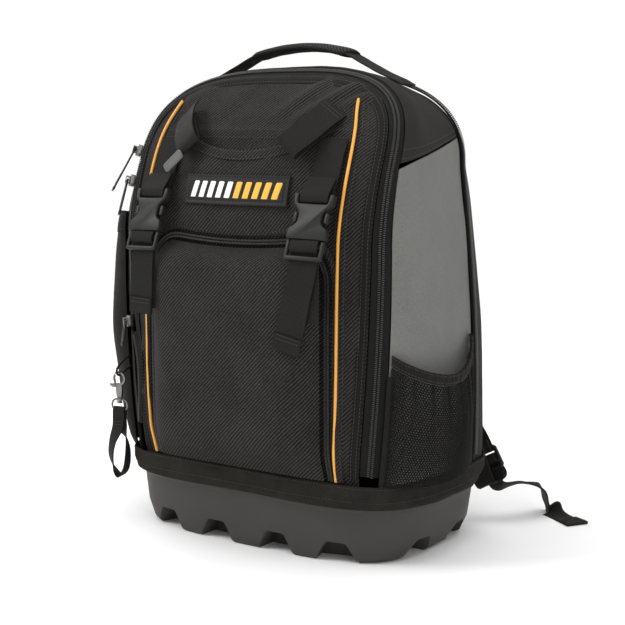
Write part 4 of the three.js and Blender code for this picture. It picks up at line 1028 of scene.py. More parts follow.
def stitches(name, node, rows, material="thread", pitch=None, width=None):
    """Stitches along rows of (points, outward directions), as one piece on a node's body."""
    sizes = bpy.context.scene.backpack_sizes
    pitch = pitch or sizes.stitch_pitch / MM
    long = sizes.stitch_length / MM * pitch / (sizes.stitch_pitch / MM)
    wide = width or sizes.thread_width / MM
    draw = np.random.default_rng(sizes.stitch_seed)
    placed = [seam_row(points, ups, pitch, draw, -0.1) for points, ups in rows]
    made = repeated(name, placed, (long, wide, wide * 0.8), surfaces[material])
    return settle(made, node)


def grid_line(grid, row=None, column=None, lift=0.0):
    """Points and outward directions along one row or column of a grid, at a share of it."""
    normals = grid_normals(grid)
    if row is not None:
        k = row * (grid.shape[0] - 1)
        low, share = int(min(math.floor(k), grid.shape[0] - 2)), k - math.floor(min(k, grid.shape[0] - 2))
        points, ups = lerp(grid[low], grid[low + 1], share), lerp(normals[low], normals[low + 1], share)
    else:
        k = column * (grid.shape[1] - 1)
        low, share = int(min(math.floor(k), grid.shape[1] - 2)), k - math.floor(min(k, grid.shape[1] - 2))
        points = lerp(grid[:, low], grid[:, low + 1], share)
        ups = lerp(normals[:, low], normals[:, low + 1], share)
    return points + ups * lift, ups


# Base and binding

BASE_OUTSIDE = (
    (-4, 22.6, 5.6), (-3.4, 21.4, 4.4), (-2.2, 19.4, 3.0), (0, 16, 2), (8, 12, 1.75), (16, 8, 1.6),
    (30, 5.6, 1.6), (40, 3.9, 1.6), (46.4, 3.1, 1.6), (47.6, 2.2, 1.3), (48.6, 0.6, 0.4), (49.6, 0, 0),
    (52, 0, 0), (56, 0, 0), (59.2, 0.1, 0.1), (60, 0.8, 0.8),
)
BASE_INSIDE = (
    (6, 38, 32.6), (6.4, 37, 31.6), (21, 37, 31.6), (21.3, 12, 6.6), (40, 7, 4.6), (61, 3.5, 3.5),
)


def ring_sections(rows, count):
    """Closed base outlines for rows of (height, inset at the ends, inset at front and back)."""
    return np.array([base_outline(inset, front, z, count) for z, inset, front in rows])


def hull_object(name, sections):
    """A plain closed solid through ring sections."""
    count = sections.shape[1]
    along = np.arange(len(sections), dtype=float)
    points, faces, corners = loft_mesh(sections, along, np.arange(count + 1.0))
    return mesh_object(name, points, faces, corners, surfaces["base"], 180)


def notch_solid(x, y, facing):
    """A foot notch's cutter, narrower at its top, its inside rounded."""
    points, faces = [], []
    profile = [(-7, notch_foot / 2 + 0.8), (-3.6, notch_foot / 2 + 0.4), (-1.6, notch_foot / 2 - 1.2)]
    profile += [(3, 18), (13, 12), (15.2, 10.4), (16, 8)]
    turn = Matrix.Rotation(facing + math.pi / 2, 4, "Z")
    for depth in (-40, notch_reach):
        for z, half in profile:
            points.append((half, depth, z))
        for z, half in profile[::-1]:
            points.append((-half, depth, z))
    count = 2 * len(profile)
    faces.append(tuple(range(count)))
    faces.append(tuple(range(2 * count - 1, count - 1, -1)))
    for k in range(count):
        beside = (k + 1) % count
        faces.append((k, k + count, beside + count, beside))
    placed = np.array([tuple(turn @ Vector(p) + Vector((x, y, 0))) for p in points])
    return placed, faces


def make_base():
    """The moulded base: a tub with a ledge, a wide edge and twelve foot notches."""
    outside = hull_object("moulded_base_tub", ring_sections(BASE_OUTSIDE, 128))
    inside = hull_object("base_inside", ring_sections(BASE_INSIDE, 96))
    reach_at = polar(base_outline(8, 1.6, 0, 144))
    parts = []
    for end in (-1, 1):
        deep, wide = (base_depth / 2 - 1.6) * end, (bag_half_width - 8) * end
        for k in (-1.5, -0.5, 0.5, 1.5):
            angle = math.atan2(deep, k * notch_pitch)
            turned = math.copysign(0.28, k * end) if abs(k) > 1 else 0.0
            reach = float(reach_at(angle))
            parts.append((reach * math.cos(angle), reach * math.sin(angle), end * math.pi / 2 - turned))
        for k in (-0.5, 0.5):
            angle = math.atan2(k * notch_pitch, wide)
            reach = float(reach_at(angle))
            facing = 0.0 if end > 0 else math.pi
            parts.append((reach * math.cos(angle), reach * math.sin(angle), facing))
    points, faces = [], []
    for x, y, facing in parts:
        placed, sides = notch_solid(x, y, facing)
        faces.extend(tuple(k + len(points) for k in side) for side in sides)
        points.extend(placed.tolist())
    notches = mesh_object("base_notches", points, faces, None, surfaces["base"], 180)
    for cutter in (inside, notches):
        work = bmesh.new()
        work.from_mesh(cutter.data)
        bmesh.ops.recalc_face_normals(work, faces=work.faces)
        work.to_mesh(cutter.data)
        work.free()
        cut = outside.modifiers.new(cutter.name, "BOOLEAN")
        cut.operation = "DIFFERENCE"
        cut.solver = "EXACT"
        cut.use_self = cutter is notches
        cut.object = cutter
    rounding = outside.modifiers.new("Moulded edges", "BEVEL")
    rounding.width = 0.9 * MM
    rounding.segments = 2
    rounding.limit_method = "ANGLE"
    rounding.angle_limit = math.radians(38)
    rounding.use_clamp_overlap = True
    made = applied(outside)
    for cutter in (inside, notches):
        bpy.data.objects.remove(cutter)
    made.data.shade_smooth()
    made.data.set_sharp_from_angle(angle=math.radians(30))
    settle(made, "moulded_base", ("moulded_base",))


def body_outline(z):
    """The body cloth's outline at a height."""
    front = front_point(np.linspace(-6, 6, 41) / 6.5 * front_half_width(z), z)
    v = np.linspace(0, last_seam, 37)
    right = body_point(climb_to(np.full(v.shape, float(z)), v), v)
    left = body_point(climb_to(np.full(v.shape, float(z)), v, -1), v)[::-1]
    back = back_point(np.linspace(4, -4, 17) / 4.4, z)
    return np.concatenate([front, right, back, left])


def binding_reach(angles):
    """Reach of the binding's foot and of its top round the bag."""
    low = polar(base_outline(0, 0, 0, 200))
    spread = 2 * math.pi / 46
    body = [polar(body_outline(z)) for z in (62.0, 69.0, 76.0)]
    foot = np.max([low(angles + k * spread * 0.5) for k in (-1, -0.5, 0, 0.5, 1)], axis=0) + 1.6
    high = np.max([one(angles + k * spread * 0.4) for one in body for k in (-1, -0.5, 0, 0.5, 1)], axis=0)
    return foot, np.maximum(high + 1.2, foot - 1)


BINDING_SECTION = (
    (0, 53.2, 0.0), (0.7, 52.9, 0.0), (1.5, 53.6, 0.0), (2.1, 57.0, 0.0), (1.9, 60.5, 0.5), (1.75, 64.5, 1.0),
    (1.8, 69.0, 1.0), (1.7, 74.0, 1.0), (1.2, 76.0, 1.0), (0.5, 76.3, 1.0), (0, 75.6, 1.0), (0, 61, 1.0),
)


def make_binding():
    """The folded tape sewn over the rim of the base, with two rows of stitches."""
    count = 260
    angles = (np.arange(count) + 0.5) * 2 * math.pi / count
    foot, high = binding_reach(angles)
    direction = np.stack([np.cos(angles), np.sin(angles), 0 * angles], axis=-1)
    section = np.array(BINDING_SECTION)
    ripple = waves(direction * 170, 26, 5) * 0.35
    rings = []
    for out, z, share in section:
        reach = lerp(foot, high, share) + out + (ripple if out > 1 else 0)
        place = direction * reach[:, None]
        place[:, 2] = z + (waves(direction * 170, 60, 6) * 0.5 if z > 57 else 0)
        rings.append(place)
    sections = np.stack(rings, axis=1)
    way = walked(sections[:, 3])
    along = list(way) + [way[-1] + np.linalg.norm(sections[0, 3] - sections[-1, 3])]
    around = np.concatenate([
        [0],
        np.cumsum(np.linalg.norm(np.diff(np.concatenate([section, section[:1]])[:, :2], axis=0), axis=1))
    ])
    made = mesh_object(
        "base_binding_tape", *loft_mesh(sections, along, around, True), surfaces["binding"], 60
    )
    settle(made, "base_binding", ("base_binding",))
    rows = []
    for k in (4, 7):
        ring = np.concatenate([sections[:, k], sections[:1, k]])
        rows.append((ring, np.concatenate([direction, direction[:1]])))
    stitches("base_binding_stitches", "base_binding", rows, "dark_thread", 3.6)


# Front panel, sides, top and rear

PANEL_CREASES = (
    ((118, 458), (44, 416), 5.2, 6.0), ((131, 443), (84, 426), 4.2, 5.0), ((68, 456), (20, 421), 3.2, 6.0),
    ((100, 440), (70, 408), -1.6, 6.0), (
        (-12, 443), (-44, 419), -1.6, 9.0
    ), ((-70, 452), (-112, 428), 1.5, 8.0),
    (
        (-118, 300), (-140, 240), 1.4, 8.0
    ), ((-112, 200), (-138, 176), 1.6, 5.0), ((-108, 150), (-136, 132), 1.5, 5.0),
    ((126, 260), (146, 190), 1.1, 8.0), ((122, 390), (140, 350), 1.2, 7.0),
)


def panel_grid(rows=150, columns=110):
    climbs = np.concatenate(
        [
            climb_to(np.linspace(foot_height, 348, rows - 46), 0.0, -1)[:-1],
            np.linspace(float(climb_to(348.0, 0.0, -1)), 0.485, 47),
        ]
    )
    edge = panel_edge(climbs)
    share = np.sin(np.linspace(-1, 1, columns) * math.pi / 2 * 0.86) / math.sin(math.pi / 2 * 0.86)
    x = share[None, :] * np.abs(edge[:, :1])
    z = np.broadcast_to(edge[:, 2:3], x.shape)
    grid = front_point(x, z)
    grid[..., 0] = pulled_in(x, z)
    grid = outward(grid, (0, -1, 0))
    edge_share = np.abs(grid[..., 0]) / np.maximum(np.abs(grid[:, :1, 0]), 1)
    height = creases(grid, PANEL_CREASES) + waves(grid, 85, 11) * 0.55 + waves(grid, 28, 12) * 0.16
    height = height * ease((1 - edge_share) / 0.08)
    return grid, height


def make_front_panel():
    """The coarse front cloth, its folds, the sewn band over the slip pocket, and its seam to the zip."""
    grid, height = panel_grid()
    z = grid[..., 2]
    band = ease((z - 396.5) / 1.6) * ease((409.5 - z) / 1.6)
    inner = np.abs(grid[..., 0]) < 118
    cloth_grid = raised(grid, height + band * inner * 0.8)
    sewn_cloth("front_panel_cloth", "front_panel", cloth_grid, cloth, laid_uv(grid), surfaces["cordura"])
    rows = []
    normals = grid_normals(cloth_grid)
    for height_at in (399.2, 406.8):
        points, ups = [], []
        for k in range(cloth_grid.shape[1]):
            column = cloth_grid[:, k]
            if abs(column[60, 0]) > 112:
                continue
            order = np.argsort(column[:, 2])
            points.append([np.interp(height_at, column[order, 2], column[order, j]) for j in range(3)])
            ups.append([np.interp(height_at, column[order, 2], normals[order, k, j]) for j in range(3)])
        rows.append((np.array(points), np.array(ups)))
    stitches("front_panel_stitches", "front_panel", rows)
    welt_rows, stitch_rows = [], []
    t = np.linspace(float(climb_to(80.0, 0.0, -1)), 1 - float(climb_to(80.0, 0.0, -1)), 260)
    for inset in (7.4, 11.2, 15.4):
        line = panel_edge(t, inset)
        line[:, 0] = pulled_in(line[:, 0], line[:, 2])
        welt_rows.append(line)
    inner_line, outer_line = welt_rows[2], welt_rows[0]
    shares = np.linspace(0, 1, 7)
    welt = np.stack(
        [
            lerp(outer_line, inner_line, s) + np.array([0, -1, 0]) * (
                1.0 + 1.4 * math.sin(math.pi * min(s * 1.25, 1))
            )
            for s in shares
        ],
        axis=1,
    )
    welt = outward(welt, (0, -1, 0))
    welt = raised(welt, waves(welt, 34, 21) * 0.22)
    sewn_cloth("front_panel_welt", "front_panel", welt, 0.9, laid_uv(welt), surfaces["hem"], False)
    stitch_rows = [grid_line(welt, column=s, lift=0.05) for s in (0.2, 0.8)]
    stitches("front_welt_stitches", "front_panel", stitch_rows)


SIDE_CREASES = (
    ((-70, 300), (-40, 360), 1.6, 9.0), (
        (-30, 180), (10, 260), -1.2, 14.0
    ), ((30, 340), (60, 280), 1.2, 10.0),
    ((-74, 240), (-30, 214), 1.3, 7.0), ((-72, 150), (-40, 120), 1.2, 8.0),
)


def side_grid(t, v, direction, lift=0.0):
    grid = body_point(t, v, lift)
    return outward(grid, direction)


def yoke_edge(v, side):
    share = (v - front_edge) / (rear_seam - front_edge)
    return climb_to(lerp(shoulder_height + 4, shoulder_height + 30, share), v, side)


def make_sides():
    """The side cloths, black on the left and grey on the right, and the top between them."""
    v = np.linspace(front_edge, rear_seam - 0.09, 60)
    for name, sign, material in (("side_panel_left", -1, "smooth"), ("side_panel_right", 1, "grey")):
        top = yoke_edge(v, sign)
        k = np.linspace(0, 1, 90)[:, None]
        if sign < 0:
            t = lerp(0, top - 0.0012, k)
        else:
            t = lerp(1.0, top + 0.0012, k)
        grid = side_grid(t, np.broadcast_to(v, t.shape), (sign, 0, 0))
        inner = np.abs(v - (front_edge + rear_seam) / 2) / ((rear_seam - front_edge) / 2)
        fade = ease(
            (1 - inner) / 0.1
        )[None, :] if grid[0, 0, 1] < grid[0, -1, 1] else ease((1 - inner) / 0.1)[None, ::-1]
        height = creases(
            grid, SIDE_CREASES, (1, 2)
        ) + waves(grid, 70, 31 + sign) * 0.9 + waves(grid, 22, 33) * 0.16
        sewn = raised(grid, height * fade)
        sewn_cloth(name + "_cloth", name, sewn, cloth, laid_uv(grid), surfaces[material])
    k = np.linspace(0, 1, 150)[:, None]
    t = lerp(yoke_edge(v, -1) + 0.0012, yoke_edge(v, 1) - 0.0012, k)
    grid = side_grid(t, np.broadcast_to(v, t.shape), (0, 0, 1))
    height = waves(grid, 60, 41) * 0.8 + waves(grid, 24, 42) * 0.2
    across = np.abs(np.linspace(-1, 1, grid.shape[1]))[None, :]
    sewn = raised(grid, height * ease((1 - across) / 0.1))
    sewn_cloth("top_yoke_cloth", "top_yoke", sewn, cloth, laid_uv(grid), surfaces["smooth"])
    rows = []
    for share in (0.006, 0.024, 0.976, 0.994):
        rows.append(grid_line(sewn, row=share, lift=0.05))
    stitches("top_yoke_stitches", "top_yoke", rows)


def make_rear():
    """The rear compartment's wall, with a sewn groove, and the padded back panel."""
    t = np.linspace(0, 1, 240)[:, None]
    v = np.linspace(rear_seam + 0.09, last_seam - 0.05, 44)[None, :]
    grid = body_point(*np.broadcast_arrays(t, v))
    grid = grid if np.dot(grid_normals(grid)[120, 22], (0, 0, 1)) > 0 else grid[:, ::-1]
    share = np.linspace(0, 1, 44)[None, :]
    share = share if grid[0, 0, 1] < grid[0, -1, 1] else share[:, ::-1]
    groove = -1.5 * np.exp(-(((share - 0.62) / 0.035) ** 2)) + 0.5 * np.exp(-(((share - 0.7) / 0.06) ** 2))
    height = groove + waves(grid, 55, 51) * 0.7 * ease((1 - np.abs(2 * share - 1)) / 0.2)
    sewn = raised(grid, height)
    sewn_cloth("rear_compartment_cloth", "rear_compartment", sewn, cloth, laid_uv(grid), surfaces["smooth"])
    rows = [grid_line(sewn, column=0.66 if grid[0, 0, 1] < grid[0, -1, 1] else 0.34, lift=0.05)]
    stitches("rear_compartment_stitches", "rear_compartment", rows)
    crown = SEAM_LINES[last_seam][4] * bag_height
    angle = np.linspace(0, math.pi / 2 * 0.93, 40)
    heights = np.concatenate(
        [np.linspace(foot_height, shoulder_height, 100)[:-1], lerp(shoulder_height, crown, np.sin(angle))]
    )
    k = np.linspace(-1, 1, 90)
    panel = back_point(k[None, :], heights[:, None])
    panel = outward(panel, (0, 1, 0))
    across, z = panel[..., 0], panel[..., 2]
    spine = np.abs(across) / 13.0
    channel = -5.2 * np.exp(-(spine**4))
    for place in (146.0, 224.0, 302.0, 372.0):
        slope = place + 10 * np.abs(across) / 150
        channel = np.minimum(channel, -4.4 * np.exp(-(((z - slope) / 7.5) ** 4)))
    edge = ease(
        (1 - np.abs(np.linspace(-1, 1, 90))[None, :]) / 0.1
    ) * ease((z - 78) / 16) * ease((crown - z) / 14)
    pad = (3.6 + channel) * edge + waves(panel, 50, 55) * 0.5 * edge
    sewn = raised(panel, pad)
    made = mesh_object("back_panel_pads", *sheet_mesh(sewn, 8.0, laid_uv(panel)), surfaces["foam"], 60)
    settle(made, "back_panel", ("back_panel",))


# Zips and piping


def zip_pieces(name, node, inner, outer, ups, pitch, tooth, tape_drop=0.9):
    """A zip between two edge lines: its tape and its two rows of interlocked coils."""
    middle = (inner + outer) / 2
    ahead = unit(np.gradient(middle, axis=0))
    across = outer - inner
    across = across - ahead * np.sum(across * ahead, axis=1, keepdims=True)
    half = np.linalg.norm(across, axis=1, keepdims=True) / 2 - 1.1
    across = unit(across)
    out = np.cross(ahead, across)
    out = out * np.sign(np.sum(out * ups, axis=1, keepdims=True))
    profile = (
        (-1, -0.6), (-0.72, -0.2), (-0.4, 0.05), (-0.12, 0.1), (0.12, 0.1), (0.4, 0.05), (0.72, -0.2),
        (1, -0.6)
    )
    tape = np.stack([middle + across * half * a + out * (b - tape_drop + 0.6) for a, b in profile], axis=1)
    tape = outward(tape, ups.mean(axis=0)) if np.linalg.norm(ups.mean(axis=0)) > 0.6 else tape
    if np.sum(grid_normals(tape) * out[:, None]) < 0:
        tape = tape[:, ::-1]
    sewn_cloth(name + "_tape", node, tape, 1.1, laid_uv(tape), surfaces["tape"])
    way = walked(middle)
    count = int(way[-1] / pitch)
    at = (np.arange(count) + 0.5) * pitch
    pick = lambda table, shift: np.stack([np.interp(at + shift, way, table[:, k]) for k in range(3)], axis=-1)
    rows = []
    for side, shift in ((-1, 0.0), (1, pitch / 2)):
        place = pick(middle, shift) + pick(across, shift) * side * tooth[0] * 0.5 + pick(out, shift) * 0.8
        slanted = unit(pick(across, shift) + pick(ahead, shift) * 0.16 * side)
        rows.append((place, slanted, unit(pick(out, shift) + slanted * 0.12 * side)))
    made = repeated(name + "_coils", rows, tooth, surfaces["coil"])
    settle(made, node)


def front_zip_lines(start, end, count=420):
    t = np.linspace(start, end, count)
    return panel_edge(t), body_point(t, front_edge), body_normal(t, np.full(t.shape, 0.25))


zip_foot = float(climb_to(base_height + binding_height + 1.0, 0.0, -1))
slider_climb = float(climb_to(gape_top + 2.0, 0.0, -1))


def make_body_zips():
    """The front and rear zips."""
    sizes = bpy.context.scene.backpack_sizes
    pitch = sizes.main_tooth / MM
    inner, outer, ups = front_zip_lines(slider_climb, 1 - zip_foot)
    zip_pieces("front_zip", "front_zip", inner, outer, ups, pitch, (3.4, 1.25, 2.0))
    t = np.linspace(zip_foot, 1 - zip_foot, 420)
    inner = body_point(t, rear_seam - 0.13, 3.4)
    outer = body_point(t, rear_seam + 0.13, 3.4)
    zip_pieces(
        "rear_zip", "rear_zip", inner, outer, body_normal(t, np.full(t.shape, rear_seam)), pitch,
        (3.4, 1.25, 2.0)
    )


PIPING_LINE = ((0.0, 0.955), (0.2, 0.985), (0.5, 1.0), (0.75, 1.015), (0.9, 1.0), (1.0, 0.92))


def piping_points(side, steps, lift=2.24):
    table = [(out * 116.0, 0.0, height) for height, out in PIPING_LINE]
    place = smooth_line(table, np.linspace(0, 1, steps), False, "catmullrom")
    z = lerp(float(pocket_foot), bag_height - 32, np.clip(place[:, 2], 0, 1))
    return front_point(side * place[:, 0], z, lift)


def make_piping():
    """The two twisted cords sewn up the front, each in its folded strip of cloth."""
    for side, name in ((-1, "left"), (1, "right")):
        points = piping_points(side, 220, 3.6)
        radius = 1.5
        mesh = rod_mesh(points, radius, radius, 12, (0, -1, 0))
        made = mesh_object("piping_%s_cord" % name, *mesh, surfaces["piping"], 180)
        settle(made, "piping_" + name, ("piping_" + name,))
        strip = []
        for off, lift in (
            (-6.2, 0.5), (-4.6, 1.1), (-2.2, 1.5), (0, 0.7), (2.2, 1.5), (4.6, 1.1), (6.2, 0.5)
        ):
            base = piping_points(side, 220, lift)
            base[:, 0] += off
            strip.append(front_point(base[:, 0], base[:, 2], lift))
        grid = outward(np.stack(strip, axis=1), (0, -1, 0))
        sewn_cloth(
            "piping_%s_strip" % name, "front_panel", grid, 0.7, laid_uv(grid), surfaces["cordura"], False
        )
        stitches(
            "piping_%s_stitches" % name, "front_panel",
            [grid_line(grid, column=c, lift=0.06) for c in (0.12, 0.88)]
        )


# Front pockets


def pocket_half_at(z):
    down = np.clip((z - (pocket_top - pocket_corner)) / pocket_corner, 0, 1)
    return pocket_half_width - pocket_corner * (1 - np.sqrt(1 - down * down * 0.96))


def sagged(x, z):
    """Heights near the lower pocket's top edge, which sags between its corners."""
    return z - 5.0 * np.maximum(0, 1 - (np.asarray(x) / 80) ** 2) * ease((np.asarray(z) - 262) / 40)


def pocket_point(across, z, lift=0.0):
    across, z = np.broadcast_arrays(np.asarray(across, float), np.asarray(z, float))
    x = across * pocket_half_at(z)
    share = np.clip((z - pocket_foot) / (pocket_top - pocket_foot), 0, 1)
    wall = 1 - np.abs(across) ** 8
    top_wall = 1 - np.clip((share - 0.8) / 0.2, 0, 1) ** 4
    bottom_wall = ease(share / 0.22 + 0.12)
    depth = 4 + (pocket_depth - 4) * wall * top_wall * bottom_wall
    return front_point(x, sagged(x, z), depth + lift)


POCKET_CREASES = (
    ((-60, 236), (60, 240), 1.0, 6.0), ((-70, 110), (-20, 96), 1.6, 7.0), ((10, 94), (70, 106), 1.4, 7.0),
    ((-82, 200), (-60, 150), 1.2, 8.0), ((84, 210), (70, 150), 1.2, 8.0), ((-20, 226), (30, 200), 1.1, 10.0),
    ((-84, 262), (-62, 240), 1.4, 5.0), ((86, 262), (66, 240), 1.4, 5.0),
)


def make_front_pocket():
    """The lower pocket: its pillow of coarse cloth and the folded welts along its zip."""
    across = np.sin(np.linspace(-1, 1, 110) * math.pi / 2 * 0.93) / math.sin(math.pi / 2 * 0.93)
    straight = np.linspace(pocket_foot, pocket_top - pocket_corner, 84)
    round_part = pocket_top - pocket_corner * (1 - np.sin(np.linspace(0, 1.5, 30)[1:]))
    z = np.concatenate([straight, round_part])
    grid = outward(pocket_point(across[None, :], z[:, None], cloth), (0, -1, 0))
    side = np.abs(across)[None, :]
    rise = (grid[..., 2] - pocket_foot) / (pocket_top - pocket_foot)
    fade = ease((1 - side) / 0.12) * ease(rise / 0.05) * ease((1 - rise) / 0.1)
    height = creases(grid, POCKET_CREASES) + waves(grid, 78, 61) * 0.9 + waves(grid, 26, 62) * 0.2
    made = raised(grid, height * fade)
    sewn_cloth("front_pocket_cloth", "front_pocket", made, cloth, laid_uv(grid), surfaces["cordura"])
    half = np.linspace(0, 1, 150)
    rows = []
    for shift, lift in (
        (-5.9, 0.6), (-6.3, 2.8), (-7.6, 4.4), (-9.3, 4.7), (-10.9, 3.6), (-11.8, 1.8), (-12.0, 0.6)
    ):
        rows.append(pocket_line(half, shift, lift))
    outer = np.stack(rows, axis=1)
    outer = outward(outer, (0, -1, 0))
    outer = raised(outer, waves(outer, 24, 63) * 0.35)
    sewn_cloth("front_pocket_welt", "front_panel", outer, 0.9, laid_uv(outer), surfaces["cordura"], False)
    stitches(
        "front_pocket_stitches", "front_panel",
        [grid_line(outer, column=0.18, lift=0.05), grid_line(outer, column=0.8, lift=0.05)]
    )


def pocket_zip_point(u):
    """The pocket's zip runs just outside its edge, from the left foot over the top to the right foot."""
    corner = pocket_corner + zip_width * 0.36 + 1.6
    reach = pocket_half_width - pocket_corner + corner
    quarter = (math.pi / 2) * pocket_corner
    flat = 2 * (pocket_half_width - pocket_corner)
    middle = pocket_top - pocket_corner
    leg = middle - pocket_foot
    walk = u * (2 * leg + 2 * quarter + flat)
    half = leg + quarter + flat / 2
    side = -1 if walk < half else 1
    s = half - abs(walk - half)
    if s < leg:
        return side * reach, pocket_foot + s
    angle = ((s - leg) / quarter) * (math.pi / 2)
    if s < leg + quarter:
        return side * (reach - corner + corner * math.cos(angle)), middle + corner * math.sin(angle)
    return side * (reach - corner - (s - leg - quarter)), middle + corner


def pocket_line(shares, shift, lift):
    """A line beside the pocket's zip, shifted towards the pocket by a distance."""
    rows = []
    for u in shares:
        x, z = pocket_zip_point(u)
        ahead = np.subtract(pocket_zip_point(min(u + 0.002, 1)), pocket_zip_point(max(u - 0.002, 0)))
        ahead = ahead / np.hypot(*ahead)
        rows.append((x + ahead[1] * shift, z - ahead[0] * shift))
    rows = np.array(rows)
    return front_point(rows[:, 0], sagged(rows[:, 0], rows[:, 1]), lift)


def make_pocket_zip():
    """The pocket's zip."""
    shares = np.linspace(0, 1, 300)
    half = zip_width * 0.36 + gap
    inner, outer = pocket_line(shares, half, cloth + gap), pocket_line(shares, -half, cloth + gap)
    sizes = bpy.context.scene.backpack_sizes
    ups = np.tile((0.0, -1.0, 0.0), (300, 1))
    zip_pieces("pocket_zip", "pocket_zip", inner, outer, ups, sizes.pocket_tooth / MM, (2.9, 1.1, 1.6))


def slip_lift(x, z):
    bell = np.maximum(0, 1 - (x / 80) ** 2)
    rise = np.clip((z - pocket_top) / (mouth_height - pocket_top), 0, 1)
    return cloth + gap * 2 + slip_depth * bell**1.2 * rise**0.7


def slip_grid(rows, columns, lift=0.0, low=0.0, high=1.0):
    x = np.linspace(-1, 1, columns)[None, :] * slip_half_width
    k = np.linspace(low, high, rows)[:, None]
    sagging = np.maximum(0, 1 - (x / mouth_half_width) ** 2)
    z = lerp(sagged(x, pocket_top + zip_width + 2), mouth_height - mouth_sag * sagging, k)
    x, z = np.broadcast_arrays(x, z)
    return front_point(x, z, slip_lift(x, z) + lift)


SLIP_CREASES = (
    ((-46, 392), (-30, 372), 1.2, 5.0), ((44, 393), (30, 372), 1.2, 5.0), ((-100, 330), (-76, 316), 1.2, 6.0),
    ((78, 318), (104, 330), 1.2, 6.0), ((-30, 322), (34, 326), 1.1, 8.0),
)


def make_slip_pocket():
    """The slip pocket above the lower one, its hem turned over at its sagging mouth."""
    grid = outward(slip_grid(72, 110), (0, -1, 0))
    side = np.abs(grid[..., 0]) / slip_half_width
    height = (creases(grid, SLIP_CREASES) + waves(grid, 60, 71) * 0.6) * ease((1 - side) / 0.1)
    made = raised(grid, height)
    sewn_cloth("slip_pocket_cloth", "slip_pocket", made, cloth, laid_uv(grid), surfaces["cordura"])
    hem = []
    for k in np.linspace(0.885, 1.003, 7):
        hem.append(slip_grid(2, 110, 0.9 + 0.5 * math.sin(math.pi * (k - 0.885) / 0.118), k, k)[0])
    hem = outward(np.array(hem), (0, -1, 0))
    hem = raised(hem, waves(hem, 30, 72) * 0.25)
    keep = np.abs(hem[0, :, 0]) < 66
    hem = hem[:, keep]
    sewn_cloth("slip_pocket_hem", "slip_pocket", hem, 0.9, laid_uv(hem), surfaces["cordura"], False)
    stitches(
        "slip_pocket_stitches", "slip_pocket",
        [grid_line(hem, row=0.12, lift=0.05), grid_line(hem, row=0.86, lift=0.05)]
    )


def patch_grid(rows, columns, half_length, low, high, lift):
    x = np.linspace(-half_length, half_length, columns)[None, :]
    z = np.linspace(low, high, rows)[:, None]
    x, z = np.broadcast_arrays(x, z)
    return outward(front_point(x, z, slip_lift(x, z) + lift), (0, -1, 0))


def make_patch():
    """The rubber patch on the slip pocket: a raised rim, plain slanting bars and its sewing."""
    grid = patch_grid(44, 150, 62, 335, 364, 2.6)
    x, z = np.abs(grid[..., 0]), grid[..., 2]
    edge = np.minimum(62 - x, np.minimum(z - 335, 364 - z))
    rim = ease(edge / 0.8) * 0.7 * (1 - ease((edge - 2.2) / 0.7))
    rim += 0.55 * ease((edge - 5.2) / 0.6) * (1 - ease((edge - 6.4) / 0.6))
    soft = -0.9 * (1 - ease(edge / 0.7))
    made = raised(grid, rim + soft)
    sewn_cloth("rubber_patch_face", "rubber_patch", made, 1.8, laid_uv(grid), surfaces["rubber"])
    for group, material, start, step in ((0, "light_bar", -54.0, 10.9), (1, "warm_bar", 0.5, 10.9)):
        parts = []
        for k in range(5):
            left = start + k * step
            x = left + np.linspace(0, 6.6, 8)[None, :] + np.linspace(0, 4.6, 12)[:, None]
            z = np.broadcast_to(np.linspace(341.4, 359.0, 12)[:, None], x.shape)
            bar = outward(front_point(x, z, slip_lift(x, z) + 3.0), (0, -1, 0))
            u, v = np.abs(np.linspace(-1, 1, 8)), np.abs(np.linspace(-1, 1, 12))
            rounded = -0.35 * (np.maximum(u[None, :] ** 6, v[:, None] ** 8))
            parts.append(sheet_mesh(raised(bar, rounded), 0.6, laid_uv(bar)))
        made = mesh_object("rubber_patch_bars_%d" % group, *joined(parts), surfaces[material], 40)
        settle(made, "rubber_patch")
    rows = []
    ring = [(-58.6, 338.2), (58.6, 338.2), (58.6, 360.8), (-58.6, 360.8), (-58.6, 338.2)]
    for (x0, z0), (x1, z1) in zip(ring, ring[1:]):
        x, z = np.linspace(x0, x1, 40), np.linspace(z0, z1, 40)
        rows.append((front_point(x, z, slip_lift(x, z) + 2.65), np.tile((0.0, -1.0, 0.0), (40, 1))))
    stitches("rubber_patch_stitches", "rubber_patch", rows, "thread", 3.0)


# Straps and buckles


def frame_at(origin, up, across):
    """The place and directions of a piece of hardware: across, along it, and out of the cloth."""
    y = unit(np.asarray(up, float))
    x = np.asarray(across, float)
    x = unit(x - y * np.dot(x, y))
    return np.asarray(origin, float), np.stack([x, y, np.cross(x, y)])


def from_frame(place, point):
    origin, axes = place
    return origin + np.asarray(point, float) @ axes


SOCKET_THREAD = (
    (36, -4.3), (30, -3.6), (26.2, -3.3), (23.6, -2.2), (22.9, 0), (23.6, 2.2), (26.2, 3.3), (30, 3.6)
)
PRONG_THREAD = (
    (-32, -5.6), (-18, -5.2), (-14.2, -3.4), (-13.2, 0), (-14.2, 2.6), (-16.8, 3.4), (-21, 3.4), (-23.4, 2),
    (-24.2, 0), (-25.2, -2), (-28, -3.1), (-32, -3.4),
)
STRAP_TAILS = {-1: (226.0, 232.0, 99.0, 1.0), 1: (203.0, 232.0, 78.0, 2.0)}


def strap_frame(side):
    top = front_point(side * strap_x, 351, 13.5)
    foot = front_point(side * strap_x, 287, 30.5)
    across = unit(front_point(side * strap_x + 8, 300) - front_point(side * strap_x - 8, 300))
    return frame_at((top + foot) / 2, top - foot, across), across


